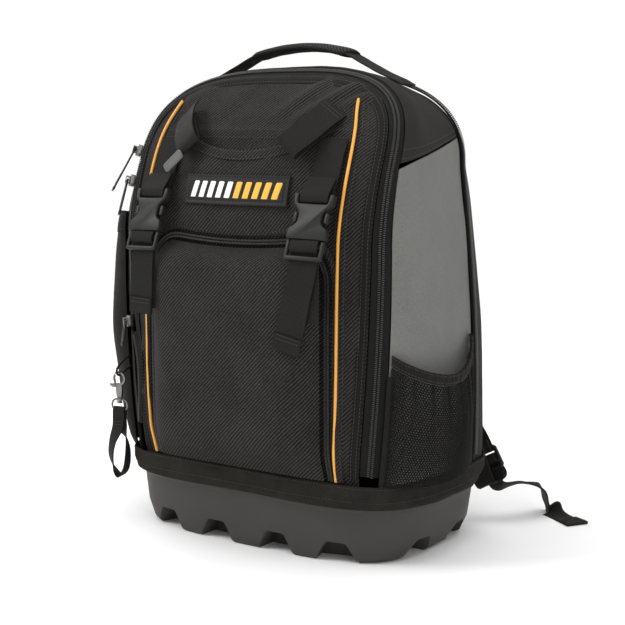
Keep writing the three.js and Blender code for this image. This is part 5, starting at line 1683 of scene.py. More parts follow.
def front_strap_lines(side):
    place, across = strap_frame(side)
    thread = lambda y, z: from_frame(place, (0, y, z))
    on_panel = lambda z, out: front_point(side * strap_x, z, out)
    upper = [on_panel(399, 5), on_panel(385, 5), on_panel(366, 5.4)] + [thread(*p) for p in SOCKET_THREAD]
    fold = on_panel(363, 9.6)
    upper += [lerp(fold, thread(30, 3.6), 0.45), fold]
    end_z, foot_z, end_x, sway = STRAP_TAILS[side]
    x = side * strap_x
    down = pocket_point(0.86 * side, foot_z)
    anchor = np.array([x, down[1] - 6.4, foot_z])
    lower = [anchor, lerp(anchor, thread(-32, -5.6), 0.5)] + [thread(*p) for p in PRONG_THREAD]
    last = thread(-32, -3.4)
    for share in (0.3, 0.65, 1):
        lower.append(
            np.array(
                [lerp(x, side * end_x, share), last[1] - 0.6 - sway * share, lerp(last[2], end_z, share)]
            )
        )
    return [(p, across) for p in upper], [(p, across) for p in lower]


def band(name, node, line, width, thickness, steps, material="webbing", replaces=True, **more):
    """A webbing band for a node."""
    made = mesh_object(name, *band_mesh(line, width, thickness, steps, **more), surfaces[material], 50)
    return settle(made, node, (node,) if replaces else ())


def band_stitches(name, node, line, width, places, thickness):
    """Rows of stitches across a band, each given as (place along, share of the width, on its back)."""
    rows = []
    at = np.array([row[0] for row in line], float)
    sideways = np.array([row[1] for row in line], float)
    fine = np.linspace(0, 1, 200)
    path = smooth_line(at, fine)
    across = smooth_line(sideways, fine, False, "catmullrom")
    ahead = unit(np.gradient(path, axis=0))
    across = unit(across - ahead * np.sum(across * ahead, axis=1, keepdims=True))
    out = np.cross(ahead, across)
    way = walked(path)
    pick = lambda table, where: np.array([np.interp(where, way, table[:, k]) for k in range(3)])
    for start, end, left, right, face in places:
        start, end = (s if s >= 0 else way[-1] + s for s in (start, end))
        points, ups = [], []
        for s in np.linspace(0, 1, 16):
            where = lerp(start, end, s)
            side = pick(out, where) * face
            points.append(pick(path, where) + pick(across, where) * lerp(
                left, right, s
            ) * width / 2 + side * (thickness / 2 + 0.08))
            ups.append(side)
        rows.append((np.array(points), np.array(ups)))
    return stitches(name, node, rows, "thread", 2.6)


def make_front_straps():
    """The two straps down the front, laced through their buckles, their sewn ends and turned-over tails."""
    for side, name in ((-1, "left"), (1, "right")):
        upper, lower = front_strap_lines(side)
        band("strap_upper_%s_web" % name, "strap_upper_" + name, upper, webbing_width, web_thick, 120)
        band("strap_lower_%s_web" % name, "strap_lower_" + name, lower, webbing_width, web_thick, 150)
        thick = web_thick
        box_rows = [(-1.8, -1.8, -0.86, 0.86, 1), (-9.5, -9.5, -0.86, 0.86, 1)]
        box_rows += [(-9.5, -1.8, -0.86, -0.86, 1), (-9.5, -1.8, 0.86, 0.86, 1)]
        band_stitches(
            "strap_upper_%s_stitches" % name, "strap_upper_" + name, upper, webbing_width, box_rows, thick
        )
        tail = smooth_line([row[0] for row in lower], np.linspace(0.0, 1, 300))
        way = walked(tail)
        across = lower[0][1]
        ahead = unit(np.gradient(tail, axis=0))
        out = np.cross(ahead, across)
        fold = [
            (
                np.array([np.interp(way[-1] - back, way, tail[:, k]) for k in range(3)]) + out[-1] * lift,
                across
            )
            for back, lift in ((16, 1.5), (10, 1.6), (4, 1.6), (0.6, 1.2))
        ]
        band(
            "strap_tail_fold_%s" % name, "strap_lower_" + name, fold, webbing_width - 0.4, 1.4, 20,
            "webbing", False
        )
        seams = [(1.2, 1.2, -0.84, 0.84, 1), (5.0, 5.0, -0.84, 0.84, 1)]
        band_stitches("strap_tail_%s_stitches" % name, "strap_lower_" + name, fold, webbing_width, seams, 1.4)
        make_buckle(side, name)


def rounded_box(half_x, half_y, half_z, corner, steps=5):
    """Points and faces of a box whose outline and upper rim are rounded, about its own middle."""
    outline = []
    for sx, sy, start in ((1, 1, 0), (-1, 1, 90), (-1, -1, 180), (1, -1, 270)):
        for k in range(steps + 1):
            angle = math.radians(start + 90 * k / steps)
            outline.append((
                sx * (half_x - corner) + corner * math.cos(angle),
                sy * (half_y - corner) + corner * math.sin(angle)
            ))
    outline = np.array(outline)
    rows = []
    bevel = min(half_z * 0.8, corner * 0.5)
    for z, inset in (
        (-half_z, bevel), (-half_z + bevel, 0), (half_z - bevel, 0), (half_z - bevel * 0.3, bevel * 0.35),
        (half_z, bevel)
    ):
        scale = (np.array([half_x, half_y]) - inset) / np.array([half_x, half_y])
        rows.append(np.column_stack([outline * scale, np.full(len(outline), z)]))
    return loft_mesh(rows, np.arange(5.0), np.arange(len(outline) + 1.0))


def placed_mesh(mesh, place, shift=(0, 0, 0)):
    points, faces, corners = mesh
    origin, axes = place
    return (points + np.asarray(shift, float)) @ axes + origin, faces, corners


# The right half of the buckle's face from its top edge over the horn and waist to its slot.
BUCKLE_OUTLINE = (
    (11, 21.2), (15.4, 21.6), (16.2, 25), (16.9, 30.4), (19.8, 30.8), (20.8, 26), (19.2, 20.4), (14.6, 15.6),
    (12.7, 12), (12.5, 4.6), (14.2, 1), (19, -2.4), (20.4, -6.4), (20, -12.2), (12, -12.6),
)


def plate_mesh(half_outline, low, high, bevel):
    """A plate with rounded rims, from the right half of its outline."""
    ring = list(half_outline) + [(-x, y) for x, y in half_outline[::-1]]
    outline = smooth_line([(x, y, 0) for x, y in ring], np.arange(110) / 110, True)[:, :2]
    ahead = unit(np.roll(outline, -1, axis=0) - np.roll(outline, 1, axis=0))
    inwards = np.column_stack([-ahead[:, 1], ahead[:, 0]])
    if np.sum(inwards * outline) > 0:
        inwards = -inwards
    rows = []
    for z, inset in (
        (low, bevel), (low + bevel, 0), (high - bevel, 0), (high - bevel * 0.3, bevel * 0.35), (high, bevel)
    ):
        rows.append(np.column_stack([outline + inwards * inset, np.full(len(outline), z)]))
    return loft_mesh(rows, np.arange(5.0), np.arange(len(outline) + 1.0))


def make_buckle(side, name):
    """A side-release buckle: its waisted face with horns, its release tabs, and the ladder for the tail."""
    place, _ = strap_frame(side)
    face = [placed_mesh(plate_mesh(BUCKLE_OUTLINE, -3.4, 4.2, 0.9), place)]
    face.append(placed_mesh(rounded_box(16.4, 1.4, 1.3, 1.2), place, (0, 27.4, 0)))
    made = mesh_object("buckle_socket_%s_shell" % name, *joined(face), surfaces["plastic"], 40)
    settle(made, "buckle_socket_" + name, ("buckle_socket_" + name,))
    ladder = []
    for end in (-1, 1):
        ladder.append(placed_mesh(rounded_box(1.6, 9.2, 2.1, 1.3), place, (18.1 * end, -22.4, 0)))
        ladder.append(placed_mesh(rounded_box(1.9, 5.2, 2.2, 1.6), place, (16.4 * end, 8.4, 0.2)))
    ladder.append(placed_mesh(rounded_box(18.6, 1.9, 2.0, 1.5), place, (0, -30.2, 0.4)))
    ladder.append(placed_mesh(rounded_box(17.6, 2.6, 1.5, 1.4), place, (0, -18.8, 0)))
    made = mesh_object("buckle_prongs_%s_shell" % name, *joined(ladder), surfaces["plastic"], 40)
    settle(made, "buckle_prongs_" + name, ("buckle_prongs_" + name,))


LOOP_LINE = (
    (88, 427, 6), (83, 419, 13), (73, 405, 20), (61, 393, 24), (58, 389, 21), (61, 392, 18.5), (73, 404, 15),
    (84, 415, 6.5),
)


def make_webbing_loops():
    """The two folded loops that stand off the upper panel, and the pale tab on the left one."""
    for side, name in ((-1, "left"), (1, "right")):
        line = [
            (front_point(side * x, z, out), np.array([0.74 * side, -0.08, -0.66])) for x, z, out in LOOP_LINE
        ]
        band("webbing_loop_%s_web" % name, "webbing_loop_" + name, line, webbing_width - 2, web_thick, 90)
        rows = [
            (3.5, 3.5, -0.85, 0.85, face) for face in (1, -1)
        ] + [(7.5, 7.5, -0.85, 0.85, face) for face in (1, -1)]
        band_stitches(
            "webbing_loop_%s_stitches" % name, "webbing_loop_" + name, line, webbing_width - 2, rows,
            web_thick
        )
    refined("grey_tab_face", "grey_tab", surfaces["tab"], 0.5, 2)
    origin = front_point(-61, 389, 24)
    along = origin - front_point(-86, 373, 12)
    place = frame_at(origin + np.array([-3.4, -3, -5]), along, (0.5, 0, -0.8))
    rim = []
    for x0, y0, x1, y1 in (
        (-3.4, -28.6, 3.4, -28.6), (3.4, -28.6, 3.4, -2.2), (3.4, -2.2, -3.4, -2.2),
        (-3.4, -2.2, -3.4, -28.6)
    ):
        for face in (1.25, -1.25):
            points = [
                from_frame(place, (lerp(x0, x1, s), lerp(y0, y1, s), face)) for s in np.linspace(0, 1, 8)
            ]
            rim.append(rod_mesh(points, 0.45, 0.3, 8, place[1][2]))
    made = mesh_object("grey_tab_rim", *joined(rim), surfaces["tab"], 60)
    settle(made, "grey_tab")


# Carrying handle

HANDLE_LINE = ((125, -17.8), (116, -13.3), (107, -9.8), (97, -5.9), (78, 3.0), (51, 15), (0, 21.5))


def handle_line():
    rows = [(-x, rise) for x, rise in HANDLE_LINE] + list(HANDLE_LINE[:-1])[::-1]
    return [
        (np.array([x, 4 - abs(x) * 0.08, bag_height + rise]), np.array([0.0, 1.0, 0.0])) for x, rise in rows
    ]


def make_handle():
    """The carrying handle: its webbing, the padded wrap with bands round its ends, and the sewn-down feet."""
    line = handle_line()
    width = webbing_width - 5
    band("handle_webbing_band", "handle_webbing", line, width, web_thick, 130)
    path = smooth_line([row[0] for row in line], np.linspace(0, 1, 400))
    way = walked(path)
    middle = way[-1] / 2
    at = np.linspace(middle - 58, middle + 58, 90)
    points = np.stack([np.interp(at, way, path[:, k]) for k in range(3)], axis=-1)
    share = np.abs(np.linspace(-1, 1, 90))
    full = 1 - 0.28 * np.clip((share - 0.9) / 0.1, 0, 1) ** 2
    ripple = waves(points, 16, 81) * 0.25
    half_high = 4.6 * full + ripple
    mesh = rod_mesh(points, 16.4 * full, half_high, 28, (0, 0, 1))
    made = mesh_object("handle_grip_wrap", *mesh, surfaces["cordura"], 60)
    settle(made, "handle_grip", ("handle_grip",))
    ends = []
    for start in (-58.0, 54.5):
        here = np.linspace(middle + start, middle + start + 3.5, 6)
        ring = np.stack([np.interp(here, way, path[:, k]) for k in range(3)], axis=-1)
        ends.append(rod_mesh(ring, 16.2 * 0.86, 4.4 * 0.86, 24, (0, 0, 1)))
    made = mesh_object("handle_grip_ends", *joined(ends), surfaces["webbing"], 50)
    settle(made, "handle_grip")
    rows = [
        (6, 6, -0.85, 0.85, 1), (12, 12, -0.85, 0.85, 1), (6, 12, -0.85, -0.85, 1), (6, 12, 0.85, 0.85, 1)
    ]
    rows += [(-a, -b, c, d, e) for a, b, c, d, e in rows]
    band_stitches("handle_stitches", "handle_webbing", line, width, rows, web_thick)


# Side pockets


def mesh_top_at(k):
    return mesh_top - mesh_sag * np.sin(math.pi * np.minimum(1, k * 1.02)) + 6 * k


def mesh_stand(k, rise):
    belly = np.sin(math.pi * np.clip(k, 0, 1))
    return gap + mesh_thick + mesh_depth * belly * (0.55 + 0.45 * np.sin(math.pi * (0.15 + 0.7 * rise)))


MESH_FROM, MESH_TO = 0.55, rear_seam - 0.25
MESH_FOOT = base_height - 7 + binding_height + 1


def mesh_surface(k, rise, extra=0.0):
    """A point of the net pocket: k from front to back, rise from its foot to its elastic."""
    k, rise = np.broadcast_arrays(np.asarray(k, float), np.asarray(rise, float))
    v = lerp(MESH_FROM, MESH_TO, k)
    z = lerp(MESH_FOOT, mesh_top_at(k) - elastic_height, rise)
    gathers = (
        np.sin(k * 2 * math.pi * 9) * 0.9 + np.sin(k * 2 * math.pi * 15 + 1.3) * 0.5
    ) * ease(rise * 1.6 - 0.6)
    return body_point(climb_to(z, v), v, mesh_stand(k, rise) + gathers + extra)


def net_tree():
    """A tree that turns the edges of a mesh into round strands."""
    tree = bpy.data.node_groups.new("Net strands", "GeometryNodeTree")
    face = tree.interface
    face.new_socket("Geometry", in_out="INPUT", socket_type="NodeSocketGeometry")
    face.new_socket("Strand radius", in_out="INPUT", socket_type="NodeSocketFloat")
    face.new_socket("Material", in_out="INPUT", socket_type="NodeSocketMaterial")
    face.new_socket("Geometry", in_out="OUTPUT", socket_type="NodeSocketGeometry")
    new, link = tree.nodes.new, tree.links.new
    source, result = new("NodeGroupInput"), new("NodeGroupOutput")
    curve = new("GeometryNodeMeshToCurve")
    link(source.outputs["Geometry"], curve.inputs["Mesh"])
    section = new("GeometryNodeCurvePrimitiveCircle")
    section.inputs["Resolution"].default_value = 5
    link(source.outputs["Strand radius"], section.inputs["Radius"])
    strands = new("GeometryNodeCurveToMesh")
    link(curve.outputs["Curve"], strands.inputs["Curve"])
    link(section.outputs["Curve"], strands.inputs["Profile Curve"])
    strands.inputs["Fill Caps"].default_value = True
    real = new("GeometryNodeRealizeInstances")
    link(strands.outputs["Mesh"], real.inputs["Geometry"])
    painted = new("GeometryNodeSetMaterial")
    link(real.outputs["Geometry"], painted.inputs["Geometry"])
    link(source.outputs["Material"], painted.inputs["Material"])
    link(painted.outputs["Geometry"], result.inputs["Geometry"])
    return tree


def make_net_pocket():
    """The net pocket on the right: its net, its gathered elastic top and its bound edges."""
    sizes = bpy.context.scene.backpack_sizes
    cell = sizes.net_cell / MM
    wide, high = 176.0, 116.0
    columns, rows = int(wide / (cell * 0.866)), int(high / (cell * 0.75))
    points, edges, index = [], [], {}
    for i in range(columns):
        for j in range(rows):
            centre = (i * cell * 0.866 + (j % 2) * cell * 0.433, j * cell * 0.75)
            ring = []
            for corner in range(6):
                angle = math.radians(60 * corner + 30)
                spot = (centre[0] + math.cos(angle) * cell / 2, centre[1] + math.sin(angle) * cell / 2)
                key = (round(spot[0] * 4), round(spot[1] * 4))
                found = next((index[
                    (key[0] + a, key[1] + b)
                ] for a in (0, 1, -1) for b in (0, 1, -1) if (key[0] + a, key[1] + b) in index), None)
                if found is None:
                    found = index[key] = len(points)
                    points.append(spot)
                ring.append(found)
            edges.extend(tuple(sorted((ring[n], ring[(n + 1) % 6]))) for n in range(6))
    points = np.array(points)
    k = np.clip(points[:, 0] / (columns * cell * 0.866), 0.004, 0.996)
    rise = np.clip(points[:, 1] / (rows * cell * 0.75), 0.0, 1.0)
    placed = mesh_surface(k, rise, 0.2)
    mesh = bpy.data.meshes.new("mesh_pocket_net")
    mesh.from_pydata(((placed + (0, 0, body_lift)) * MM).tolist(), sorted(set(edges)), [])
    made = bpy.data.objects.new("mesh_pocket_net", mesh)
    bpy.context.scene.collection.objects.link(made)
    made = with_tree(made, net_tree(), {"Strand radius": sizes.net_strand / 2, "Material": surfaces["net"]})
    settle(made, "mesh_pocket", ("mesh_pocket",))
    k = np.linspace(0, 1, 130)[None, :]
    rise = np.linspace(0, 1, 8)[:, None]
    v = lerp(MESH_FROM, MESH_TO, k)
    z = mesh_top_at(k) - elastic_height + gap + rise * (elastic_height + 0.6)
    gathers = np.sin(k * 2 * math.pi * 21) * 0.55 + np.sin(k * 2 * math.pi * 34 + 0.7) * 0.3
    bulge = 1.0 * np.sin(math.pi * rise) ** 0.6
    grid = body_point(climb_to(z, v), v, mesh_stand(k, 1.0) + 0.9 + gathers * (0.6 + 0.4 * rise) + bulge)
    grid = outward(grid, (1, 0, 0))
    made = mesh_object(
        "mesh_pocket_elastic_band", *sheet_mesh(grid, 2.6, laid_uv(grid)), surfaces["webbing"], 60
    )
    settle(made, "mesh_pocket_elastic", ("mesh_pocket_elastic",))
    stitches(
        "mesh_elastic_stitches", "mesh_pocket_elastic",
        [grid_line(grid, row=s, lift=0.05) for s in (0.2, 0.8)]
    )
    for k_at, name in ((0.0, "front"), (1.0, "rear")):
        rise = np.linspace(0, 1, 60)
        path = mesh_surface(np.full(60, k_at), rise, 0.6)
        up = body_normal(
            climb_to(path[:, 2], lerp(MESH_FROM, MESH_TO, k_at)),
            np.full(60, lerp(MESH_FROM, MESH_TO, k_at))
        )
        line = [(p, unit(np.cross(u, (0.0, 0.0, 1.0)))) for p, u in zip(path[::6], up[::6])]
        band("mesh_pocket_edge_" + name, "mesh_pocket", line, 7.0, 1.2, 50, "webbing", False)


def make_sleeve_pocket():
    """The sleeve pocket on the left, with its hem."""
    k = np.linspace(0, 1, 80)[None, :]
    u = np.linspace(0, 1, 90)[:, None]
    v = lerp(0.62, rear_seam - 0.3, k)
    z = lerp(MESH_FOOT, sleeve_top - 12 * k, u)
    belly = np.sqrt(np.sin(math.pi * np.clip(k, 0.0004, 0.9996)))
    lift = gap + cloth + sleeve_depth * belly * np.sin(math.pi * (0.01 + 0.9 * u)) ** 0.5
    v, z, lift = np.broadcast_arrays(v, z, lift)
    grid = outward(body_point(climb_to(z, v, -1), v, lift), (-1, 0, 0))
    edge = ease((1 - np.abs(2 * k - 1)) / 0.15) * ease(u / 0.05)
    edge = edge if grid[0, 0, 1] < grid[0, -1, 1] else edge[:, ::-1]
    table = (
        ((-60, 250), (0, 230), 1.6, 9.0), ((10, 150), (50, 180), 1.4, 10.0),
        ((-50, 120), (-10, 104), 1.5, 8.0)
    )
    height = (creases(grid, table, (1, 2)) + waves(grid, 66, 91) * 1.1 + waves(grid, 24, 92) * 0.2) * edge
    made = raised(grid, height)
    sewn_cloth("side_sleeve_left_cloth", "side_sleeve_left", made, cloth, laid_uv(grid), surfaces["smooth"])
    hem = raised(
        made[-9:], 0.7 + 0.5 * np.sin(math.pi * np.linspace(0, 1, 9))[:, None] * np.ones((1, made.shape[1]))
    )
    sewn_cloth("side_sleeve_hem", "side_sleeve_left", hem, 0.9, laid_uv(hem), surfaces["webbing"], False)
    stitches(
        "side_sleeve_stitches", "side_sleeve_left", [grid_line(hem, row=s, lift=0.05) for s in (0.15, 0.8)]
    )


# Shoulder straps

PAD_LINE = (
    (46, 9.6, 32), (46.5, 11.3, 46), (50, 16, 66), (56, 29, 100), (62, 38, 150), (68, 35, 220), (82, 27, 280),
    (98, 21, 320),
)
UPPER_THREAD = (
    (24, -3), (14, -3), (9.6, -2.9), (7.6, -1.8), (7, 0), (7.6, 1.8), (9.6, 2.9), (14, 3), (20, 2.4)
)
LACED_THREAD = (
    (-20, -5.8), (-8, -5.2), (0.5, -4.6), (3.4, -2.6), (4, 0), (3.2, 2.4), (0, 3.2), (-3.2, 2.4), (-4.2, 0),
    (-5.8, -2.2), (-9.5, -2.9), (-14, -2.9),
)
ANCHOR_LINE = (
    (132, 5.6, 108, (1, 0, 0)), (133, 8.4, 92, (1, 0, 0)), (136, 12.5, 79, (1, 0, 0)), (
        143, 13, 58, (0.95, 0, 0.2)
    ),
    (154, 16, 34, (0.9, 0, 0.4)),
)
FLOOR_TAILS = {
    1: (
        (163, 27, 33, (0.8, -0.3, 0.5)), (181, 39, 35, (0.5, -0.7, 0.3)), (195, 60, 27, (0.5, -0.8, 0.1)),
        (196, 77, 5, (0.7, -0.7, 0)), (206, 74, -2.7, (0.6, 0.8, 0)), (243, 50, -2.7, (0.6, 0.8, 0)),
    ),
    -1: (
        (161, 31, 22, (0.85, -0.1, 0.4)), (166, 44, 5, (0.9, -0.2, 0.1)), (171, 60, -2.7, (0.95, -0.3, 0)),
        (185, 94, -2.7, (0.95, -0.3, 0)),
    ),
}


def make_shoulder_straps():
    """The padded shoulder straps, their lower webbing, adjusters and the tails on the floor."""
    for side, name in ((-1, "left"), (1, "right")):
        stops = [(side * x, back_y + out, bag_height - down) for x, out, down in PAD_LINE]
        pad = smooth_line(stops, np.linspace(0, 1, 120))
        share = np.linspace(0, 1, 120)
        taper = 1 - 0.22 * ease((share - 0.9) / 0.1) - 0.08 * ease((0.1 - share) / 0.1)
        thick = 5.8 * (1 - 0.3 * ease((share - 0.94) / 0.06) - 0.3 * ease((0.05 - share) / 0.05))
        mesh = rod_mesh(pad, 30.6 * taper, thick + waves(pad, 40, 95) * 0.3, 36, (0, 1, 0.25))
        made = mesh_object("shoulder_pad_%s_cloth" % name, *mesh, surfaces["smooth"], 60)
        settle(made, "shoulder_pad_" + name, ("shoulder_pad_" + name,))
        shoulder_pad_trim(side, name, pad, taper, thick)
        place = frame_at(
            (side * 149, back_y + 24, 58), (side * -0.47, -0.04, 0.88), (0.88, 0, 0.47 * side)
        )
        across = place[1][0]
        end = np.array(stops[-1], float)
        sewn = [end + (-3 * side, -7.8, 12), end + (4 * side, -7.5, -4)]
        web = [(p, across) for p in sewn] + [(from_frame(place, (0, y, z)), across) for y, z in UPPER_THREAD]
        band("strap_web_%s_band" % name, "strap_web_" + name, web, strap_webbing, web_thick, 110)
        refined("strap_adjuster_%s_lock" % name, "strap_adjuster_" + name, surfaces["plastic"], 0.8, 2)
        to_stop = lambda row: (
            np.array([side * row[0], back_y + row[1], row[2]]),
            np.array([row[3][0], row[3][1] * side, row[3][2] * side], float),
        )
        line = [to_stop(row) for row in ANCHOR_LINE]
        line += [(from_frame(place, (0, y, z)), across) for y, z in LACED_THREAD]
        line += [to_stop(row) for row in FLOOR_TAILS[side]]
        band("strap_tail_%s_band" % name, "strap_tail_" + name, line, strap_webbing, web_thick, 220)
        path = smooth_line([row[0] for row in line], np.linspace(0, 1, 500))
        sideways = smooth_line([row[1] for row in line], np.linspace(0, 1, 500), False, "catmullrom")
        way = walked(path)
        hem = []
        for back, lift in ((24, 1.4), (14, 1.5), (5, 1.5), (0.5, 1.2)):
            k = int(np.searchsorted(way, way[-1] - back))
            k = min(k, 499)
            hem.append((path[k] + (0, 0, lift), sideways[k]))
        band(
            "strap_tail_%s_hem" % name, "strap_tail_" + name, hem, strap_webbing + 0.3, 1.2, 20, "binding",
            False
        )
        rows = [(3.0, 3.0, -0.84, 0.84, 1), (20.0, 20.0, -0.84, 0.84, 1)]
        rows += [(3.0, 20.0, -0.84, 0.84, 1), (3.0, 20.0, 0.84, -0.84, 1)]
        band_stitches("strap_tail_%s_sewing" % name, "strap_tail_" + name, hem, strap_webbing, rows, 1.2)


def shoulder_pad_trim(side, name, pad, taper, thick):
    """The bound edges and the webbing sewn along a shoulder pad."""
    ahead = unit(np.gradient(pad, axis=0))
    up = np.array([0, 1, 0.25])
    up = unit(up - ahead * (ahead @ up)[:, None])
    across = np.cross(ahead, up)
    for edge, label in ((-1, "inner"), (1, "outer")):
        line = pad + across * (30.3 * taper * edge)[:, None]
        mesh = rod_mesh(line, 1.9, 2.7, 10, (0, 1, 0.25))
        made = mesh_object("shoulder_pad_%s_%s_edge" % (name, label), *mesh, surfaces["hem"], 180)
        settle(made, "shoulder_pad_" + name)
    sign = 1 if up[60, 1] > 0 else -1
    outer = pad + up * (thick * 0.96)[:, None] * sign
    line = [(outer[k], across[k]) for k in range(8, 116, 9)]
    band(
        "shoulder_pad_%s_tape" % name, "shoulder_pad_" + name, line, strap_webbing - 3, 1.3, 90, "webbing",
        False
    )
    rows = [(4, 4, -0.8, 0.8, 1), (-4, -4, -0.8, 0.8, 1), (140, 140, -0.8, 0.8, 1)]
    face = 1 if np.dot(np.cross(ahead[60], across[60]), outer[60] - pad[60]) > 0 else -1
    rows = [(a, b, c, d, face) for a, b, c, d, _ in rows]
    band_stitches(
        "shoulder_pad_%s_stitches" % name, "shoulder_pad_" + name, line, strap_webbing - 3, rows, 1.3
    )


# Open lower left and its hardware

GAPE_HEIGHTS = (104.0, 116.0, 132.0, 150.0, 168.0, 186.0, 199.0)


def open_zip_lines():
    """The two edges of the unzipped part, as places and directions of their width."""
    panel_side, body_side = [], []
    for z in GAPE_HEIGHTS:
        edge = panel_edge(climb_to(z, 0.0, -1))
        place = front_point(edge[0], edge[2])
        panel_side.append(
            (np.array([float(pulled_in(edge[0], z)) - 4.6, place[1] + 0.6, z]), np.array([1, -0.3, 0.0]))
        )
        t = climb_to(z, front_edge, -1)
        side = body_point(t, front_edge)
        ahead = unit(body_point(t, 0.1) - side)
        body_side.append((side + ahead * 4, ahead))
    return panel_side, body_side


def make_open_zip():
    """The unzipped lower left: a row of coils on each edge, and the grey lining behind them."""
    pitch = bpy.context.scene.backpack_sizes.main_tooth / MM
    panel_side, body_side = open_zip_lines()
    for line, node, edge in ((panel_side, "open_zip_panel_side", -1), (body_side, "open_zip_body_side", 1)):
        band(node + "_tape", node, line, 6.5, 1.3, 80, "tape")
        path = smooth_line([row[0] for row in line], np.linspace(0, 1, 200))
        across = unit(smooth_line([row[1] for row in line], np.linspace(0, 1, 200), False, "catmullrom"))
        ahead = unit(np.gradient(path, axis=0))
        across = unit(across - ahead * np.sum(across * ahead, axis=1, keepdims=True))
        out = np.cross(ahead, across)
        out = out * np.sign(np.sum(out * np.array([0, -1, 0]), axis=1, keepdims=True) + 1e-9)
        way = walked(path)
        at = (np.arange(int(way[-1] / pitch)) + 0.5) * pitch
        pick = lambda table: np.stack([np.interp(at, way, table[:, k]) for k in range(3)], axis=-1)
        rows = [(pick(path) + pick(across) * edge * 2.2 + pick(out) * 1.1, unit(pick(across)), pick(out))]
        made = repeated(node + "_coils", rows, (3.2, 1.3, 1.8), surfaces["coil"])
        settle(made, node)
    z = np.linspace(80, 236, 60)[:, None]
    k = np.linspace(0, 1, 40)[None, :]
    near = front_point(np.full(60, -96.0), z[:, 0]) + (0, 3.7, 0)
    t = climb_to(z[:, 0], front_edge, -1)
    far = body_point(t, np.full(60, front_edge)) + (7, 5, 0)
    grid = lerp(near[:, None], far[:, None], k[..., None])
    grid[..., 1] -= 5 * np.sin(math.pi * k) * gape_at(z)
    grid = outward(grid, (0, -1, 0))
    inner = np.sin(math.pi * k)
    made = raised(grid, (waves(grid, 24, 97) * 0.6 + waves(grid, 50, 98) * 0.5) * inner)
    sewn_cloth("grey_lining_cloth", "grey_lining", made, 1.6, laid_uv(grid), surfaces["grey"])


def slider_frame(z):
    """The place of a slider on the front zip's left side."""
    t = climb_to(z, 0.0, -1)
    inner, outer = panel_edge(t), body_point(t, front_edge)
    up = body_point(t + 0.004, 0.1) - body_point(t - 0.004, 0.1)
    place = frame_at((inner + outer) / 2, up, inner - outer)
    return from_frame(place, (0, 0, 1.5 + gap + 2.5)), place[1]


def make_sliders():
    """The three sliders of the front zip, each with a wire loop and a thin rubber pull."""
    for name, z, long, swung in (
        ("upper_zip", 384, 50, 12), ("lower_zip", 353, 38, 3), ("open_zip", gape_top + 1, 26, 10),
    ):
        refined(name + "_slider_body", name + "_slider", surfaces["metal"], 0.7, 3, 30)
        refined(name + "_pull_strip", name + "_pull", surfaces["rubber"], 0.45, 2, 30)
        place = slider_frame(z)
        angle = math.radians(-swung)
        origin, axes = place
        turned = (
            origin + axes[2] * 4.8,
            np.stack([
                axes[0], axes[1] * math.cos(angle) + axes[2] * math.sin(angle),
                axes[2] * math.cos(angle) - axes[1] * math.sin(angle)
            ]),
        )
        loop = []
        for x, y in (
            (-2.2, -6.4), (-2.3, -3), (-1.9, 0.2), (0, 1.0), (1.9, 0.2), (2.3, -3), (2.2, -6.4), (0, -7.2)
        ):
            loop.append(from_frame(turned, (x, y, 0.0)))
        wire = smooth_line(loop, np.arange(40) / 40, True)
        made = mesh_object(
            name + "_wire_loop", *rod_mesh(wire, 0.62, 0.62, 8, turned[1][2], True), surfaces["metal"], 180
        )
        settle(made, name + "_pull")
        parts = [placed_mesh(rounded_box(2.0, 1.5, 1.25, 0.9), turned, (0, -long + 3.4, 0))]
        for k in range(6):
            parts.append(
                placed_mesh(rounded_box(1.7, 0.38, 0.3, 0.3, 3), turned, (0, -long + 8.5 + k * 2.2, 1.0))
            )
        made = mesh_object(name + "_pull_ribs", *joined(parts), surfaces["rubber"], 40)
        settle(made, name + "_pull")


def make_clip():
    """The snap hook on its cord, with its lever, its D ring and the folded webbing fob."""
    refined("clip_hook", "clip_body", surfaces["metal"], 0.8, 3, 34)
    refined("clip_lever_arm", "clip_lever", surfaces["metal"], 0.5, 2, 34)
    refined("clip_ring_wire", "clip_swivel_ring", surfaces["metal"], 0.4, 2, 40)
    place = clip_frame()
    line = [(from_frame(place, at), np.array(across, float) @ place[1]) for at, across in FOB_LINE]
    band("fob_webbing_band", "fob_webbing", line, 14, 1.4, 170, "webbing", closed=True)
    parts = []
    for y in (-45.5, -48.5):
        points = [from_frame(place, (x, y, 3.0)) for x in np.linspace(-5.4, 4.4, 12)]
        parts.append((np.array(points), np.tile(place[1][2], (12, 1))))
    stitches("fob_stitches", "fob_webbing", parts, "thread", 2.4)
    cord_line = [sewn_at(171)]
    for x, y, z in ((-1.6, 8.5, 17.5), (0.8, -4.5, 9.5), (0.4, -2.5, 4.1), (-0.2, 2, 3.4), (-2, 10.5, 6)):
        cord_line.append(CLIP_AT + np.array([x, y, z]))
    cord_line.append(sewn_at(160))
    path = smooth_line(cord_line, np.linspace(0, 1, 120))
    made = mesh_object("clip_cord_loop", *rod_mesh(path, 1.15, 1.15, 12, (1, 0, 0)), surfaces["webbing"], 180)
    settle(made, "clip_cord", ("clip_cord",))


